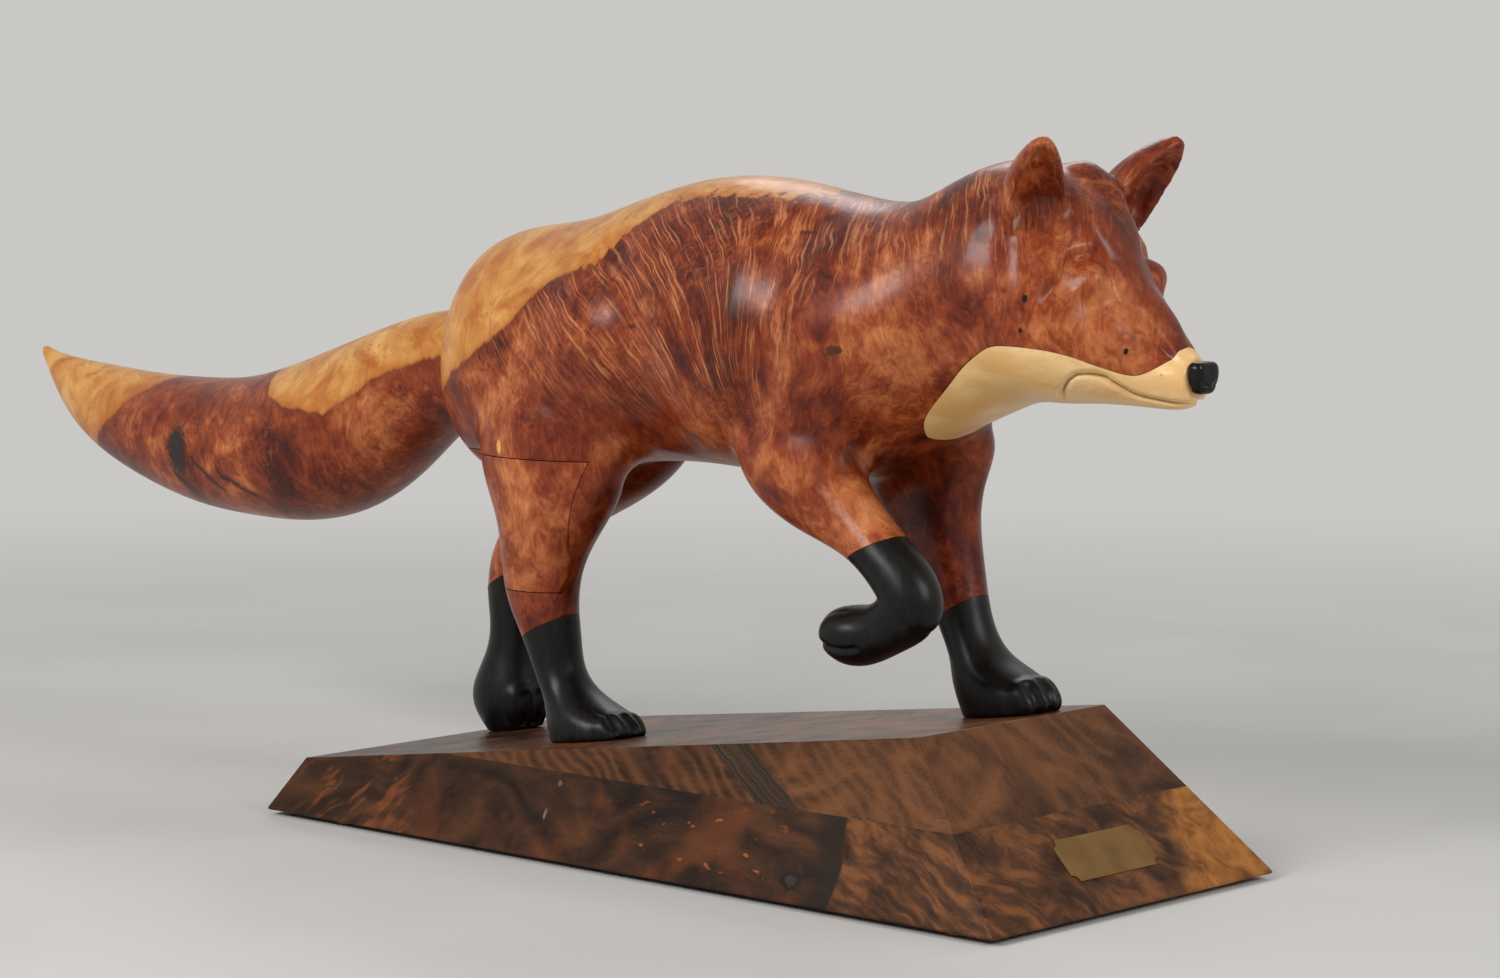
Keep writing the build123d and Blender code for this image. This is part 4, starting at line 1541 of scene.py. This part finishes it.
@dataclass
class Paws:
    """The four black paws, with rounded toes."""

    voxel: float = 0.0013
    smoothing: int = 8
    softening: int = 11
    seam: float = 0.0002
    above_cuff: float = 0.012
    black: BlackWood = BlackWood("black_satin", 0.2)
    toe_pitch: float = 14.0
    toe_reach: float = 7.5
    toe_depth: float = 4.8
    toe_swell: float = -3.2
    toe_lines: tuple[tuple[str, float, tuple[Pair, ...]], ...] = (
        ("paw_right_hind", -54, ((155, -13), (151, -4), (143, 5))),
        ("paw_left_hind", 52, ((-66, -35), (-62, -20), (-63, -8))),
        ("paw_left_fore", 52, ((483, 29), (479, 41), (471, 53))),
    )
    lifted_strokes: tuple[Stroke, ...] = (
        Stroke(
            ((362, -72, 88), (370, -79, 86), (384, -83, 84.6), (393, -82.5, 84), (404, -81, 86)),
            3.6,
            3.4,
            both_sides=False,
        ),
        Stroke(((362, -44, 88), (370, -37, 86), (384, -33, 84.6), (393, -33.5, 84)), 3.6, 3, both_sides=False),
        Stroke(((376, -79, 97), (390, -80, 100)), 14, -1.6, both_sides=False),
    )

    def strokes(self, paw: str) -> list[Stroke]:
        """One paw's rounded toes and the clefts between them.

        Args:
            paw: The paw's CAD node.

        Returns:
            The strokes that carve them, in order.
        """
        if paw == "paw_right_fore":
            return list(self.lifted_strokes)
        middle, line = next((y, line) for name, y, line in self.toe_lines if name == paw)
        passes = [(step, line[1:], self.toe_pitch, self.toe_swell) for step in (-1.5, -0.5, 0.5, 1.5)]
        passes += [(step, line, self.toe_reach, self.toe_depth) for step in (-1, 0, 1)]
        return [
            Stroke(tuple((x, middle + step * self.toe_pitch, h) for x, h in part), reach, press, both_sides=False)
            for step, part, reach, press in passes
        ]

    def build(self) -> None:
        """Builds and dresses the paws."""
        satin = self.black.material()
        for cuff in CUFFS:
            paw = Bench.copy(cuff.paw + "_carving", [cuff.paw])
            Bench.stretch(paw, cuff.normal, self.above_cuff)
            pin = Bench.copy(cuff.pin + "_copy", [cuff.pin])
            Bench.hold(paw)
            pin.select_set(True)
            bpy.ops.object.join()
            Bench.even(paw, self.voxel, self.smoothing)
            Bench.carve(paw, self.strokes(cuff.paw))
            Bench.soften(paw, self.softening)
            Bench.cut(paw, cuff.block(-self.seam), Cut.INSIDE)
            Bench.put(paw, [cuff.paw], "black_wood", satin)


@dataclass
class Base:
    """The walnut wedge, its plate, feet and hidden fixings, all as the CAD gives them."""

    slab: Walnut = SlabWalnut("walnut_slab", paint(30, 18, 12), paint(58, 36, 22), paint(92, 55, 32))
    wedge: Walnut = WedgeWalnut("walnut_wedge", paint(48, 28, 17), paint(84, 51, 30), paint(124, 78, 45))
    brass: Metal = Metal("brass", paint(144, 111, 66), paint(120, 90, 52), 0.32)
    steel: Metal = Metal("steel", paint(176, 176, 178), paint(128, 126, 124), 0.25)
    dowel: Dowel = Dowel()

    def build(self) -> None:
        """Dresses the base's CAD nodes."""
        for finish, nodes in (
            (self.slab, ("base_slab",)),
            (self.wedge, ("base_wedge",)),
            (self.brass, ("name_plate", "foot_front_right", "foot_front_left", "foot_rear_right", "foot_rear_left")),
            (self.steel, ("base_washers", "base_nuts", "stud_right_hind", "stud_left_hind", "stud_left_fore")),
            (self.dowel, ("tail_dowel", "wrist_dowel", "nose_peg")),
        ):
            material = finish.material()
            for node in nodes:
                self.dress(node, material)

    @staticmethod
    def dress(node: str, material: bpy.types.Material) -> None:
        """Gives a CAD node its material.

        Args:
            node: The node's name.
            material: The material.
        """
        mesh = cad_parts[node].data
        mesh.materials.clear()
        mesh.materials.append(material)
        LOG.info("%s: dressed", node)


@dataclass
class Studio:
    """A plain pale floor, soft light and the camera."""

    camera_at: Point = (2.2341, -2.1754, 0.5529)
    camera_turn: Pair = (90 - 5.3126, 42.708)
    lens: float = 92.83
    see_far: float = 200.0
    floor_size: float = 60.0
    floor_tones: tuple[Colour, Colour] = (paint(212, 210, 206), paint(208, 206, 202))
    fade: Pair = (0.9, 2.8)
    background: Colour = paint(202, 200, 197)
    sky_light: Colour = paint(226, 226, 228)
    sky_strength: float = 0.36
    aim: Point = (0.05, 0, 0.3)
    lamps: tuple[tuple[str, Point, Pair, float], ...] = (
        ("key", (-0.3, -2.7, 1.9), (1.7, 1.1), 66),
        ("fill", (3.1, 0.2, 1.8), (1.3, 1.3), 38),
        ("back", (-1.4, 2.4, 2.6), (1.8, 1.2), 22),
    )

    def floor(self) -> None:
        """A pale floor under the feet, which runs out into the plain background."""
        bpy.ops.object.select_all(action="DESELECT")
        bpy.ops.mesh.primitive_circle_add(vertices=96, radius=self.floor_size, fill_type="NGON")
        floor = bpy.context.object
        floor.name = "floor"
        nodes = Nodes("pale_floor")
        tone = nodes.noise(nodes.place, 3, 2)
        nodes.dress(Base_Color=nodes.mix(*self.floor_tones, tone.rise(0.4, 0.6)), Roughness=0.8)
        far = nodes.distance(nodes.place, (0, 0, 0)).rise(*self.fade)
        glow = nodes.field("ShaderNodeEmission", None, {"Color": self.background, "Strength": 1.0})
        both = nodes.field("ShaderNodeMixShader", None, {0: far, 1: nodes.surface, 2: glow})
        nodes.feed(nodes.output.inputs["Surface"], both)
        floor.data.materials.append(nodes.material)

    def sky(self, tree: Tree) -> None:
        """Even light from all round, with the plain background where it is seen or mirrored.

        Args:
            tree: The world's nodes.
        """
        light = tree.field("ShaderNodeBackground", None, {"Color": self.sky_light, "Strength": self.sky_strength})
        plain = tree.field("ShaderNodeBackground", None, {"Color": self.background, "Strength": 1.0})
        rays = tree.node("ShaderNodeLightPath").outputs
        kinds = ("Is Camera Ray", "Is Glossy Ray", "Is Transmission Ray")
        camera, glossy, through = (Field(tree, rays[kind]) for kind in kinds)
        both = tree.field("ShaderNodeMixShader", None, {0: camera + glossy + through, 1: light, 2: plain})
        tree.node("ShaderNodeOutputWorld", None, {"Surface": both})

    def lamp(self, name: str, at: Point, size: Pair, power: float) -> None:
        """A soft box that looks at the fox.

        Args:
            name: Its name.
            at: Its place.
            size: Its width and height.
            power: Its power in watts.
        """
        light = bpy.data.lights.new(name, "AREA")
        light.shape = "RECTANGLE"
        light.size, light.size_y = size
        light.energy = power
        lamp = bpy.data.objects.new(name, light)
        lamp.location = at
        lamp.rotation_euler = (Vector(self.aim) - Vector(at)).to_track_quat("-Z", "Y").to_euler()
        bpy.context.scene.collection.objects.link(lamp)

    def camera(self) -> None:
        """The camera at the photograph's viewing angle."""
        data = bpy.data.cameras.new("camera")
        data.lens = self.lens
        data.sensor_fit = "HORIZONTAL"
        data.clip_end = self.see_far
        camera = bpy.data.objects.new("camera", data)
        camera.location = self.camera_at
        camera.rotation_euler = (math.radians(self.camera_turn[0]), 0, math.radians(self.camera_turn[1]))
        bpy.context.scene.collection.objects.link(camera)
        bpy.context.scene.camera = camera

    def build(self) -> None:
        """Builds the studio."""
        scene = bpy.context.scene
        scene.view_settings.view_transform = "Standard"
        scene.world = bpy.data.worlds.new("studio")
        self.sky(Tree(scene.world))
        self.floor()
        for lamp in self.lamps:
            self.lamp(*lamp)
        self.camera()


def main() -> None:
    """Builds every piece in order."""
    logging.basicConfig(level=logging.INFO, format="%(name)s %(message)s")
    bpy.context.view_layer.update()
    Carving().build()
    Nose().build()
    Tail().build()
    Paws().build()
    Base().build()
    Studio().build()
    LOG.info("sizes written")


if __name__ == "__main__":
    main()
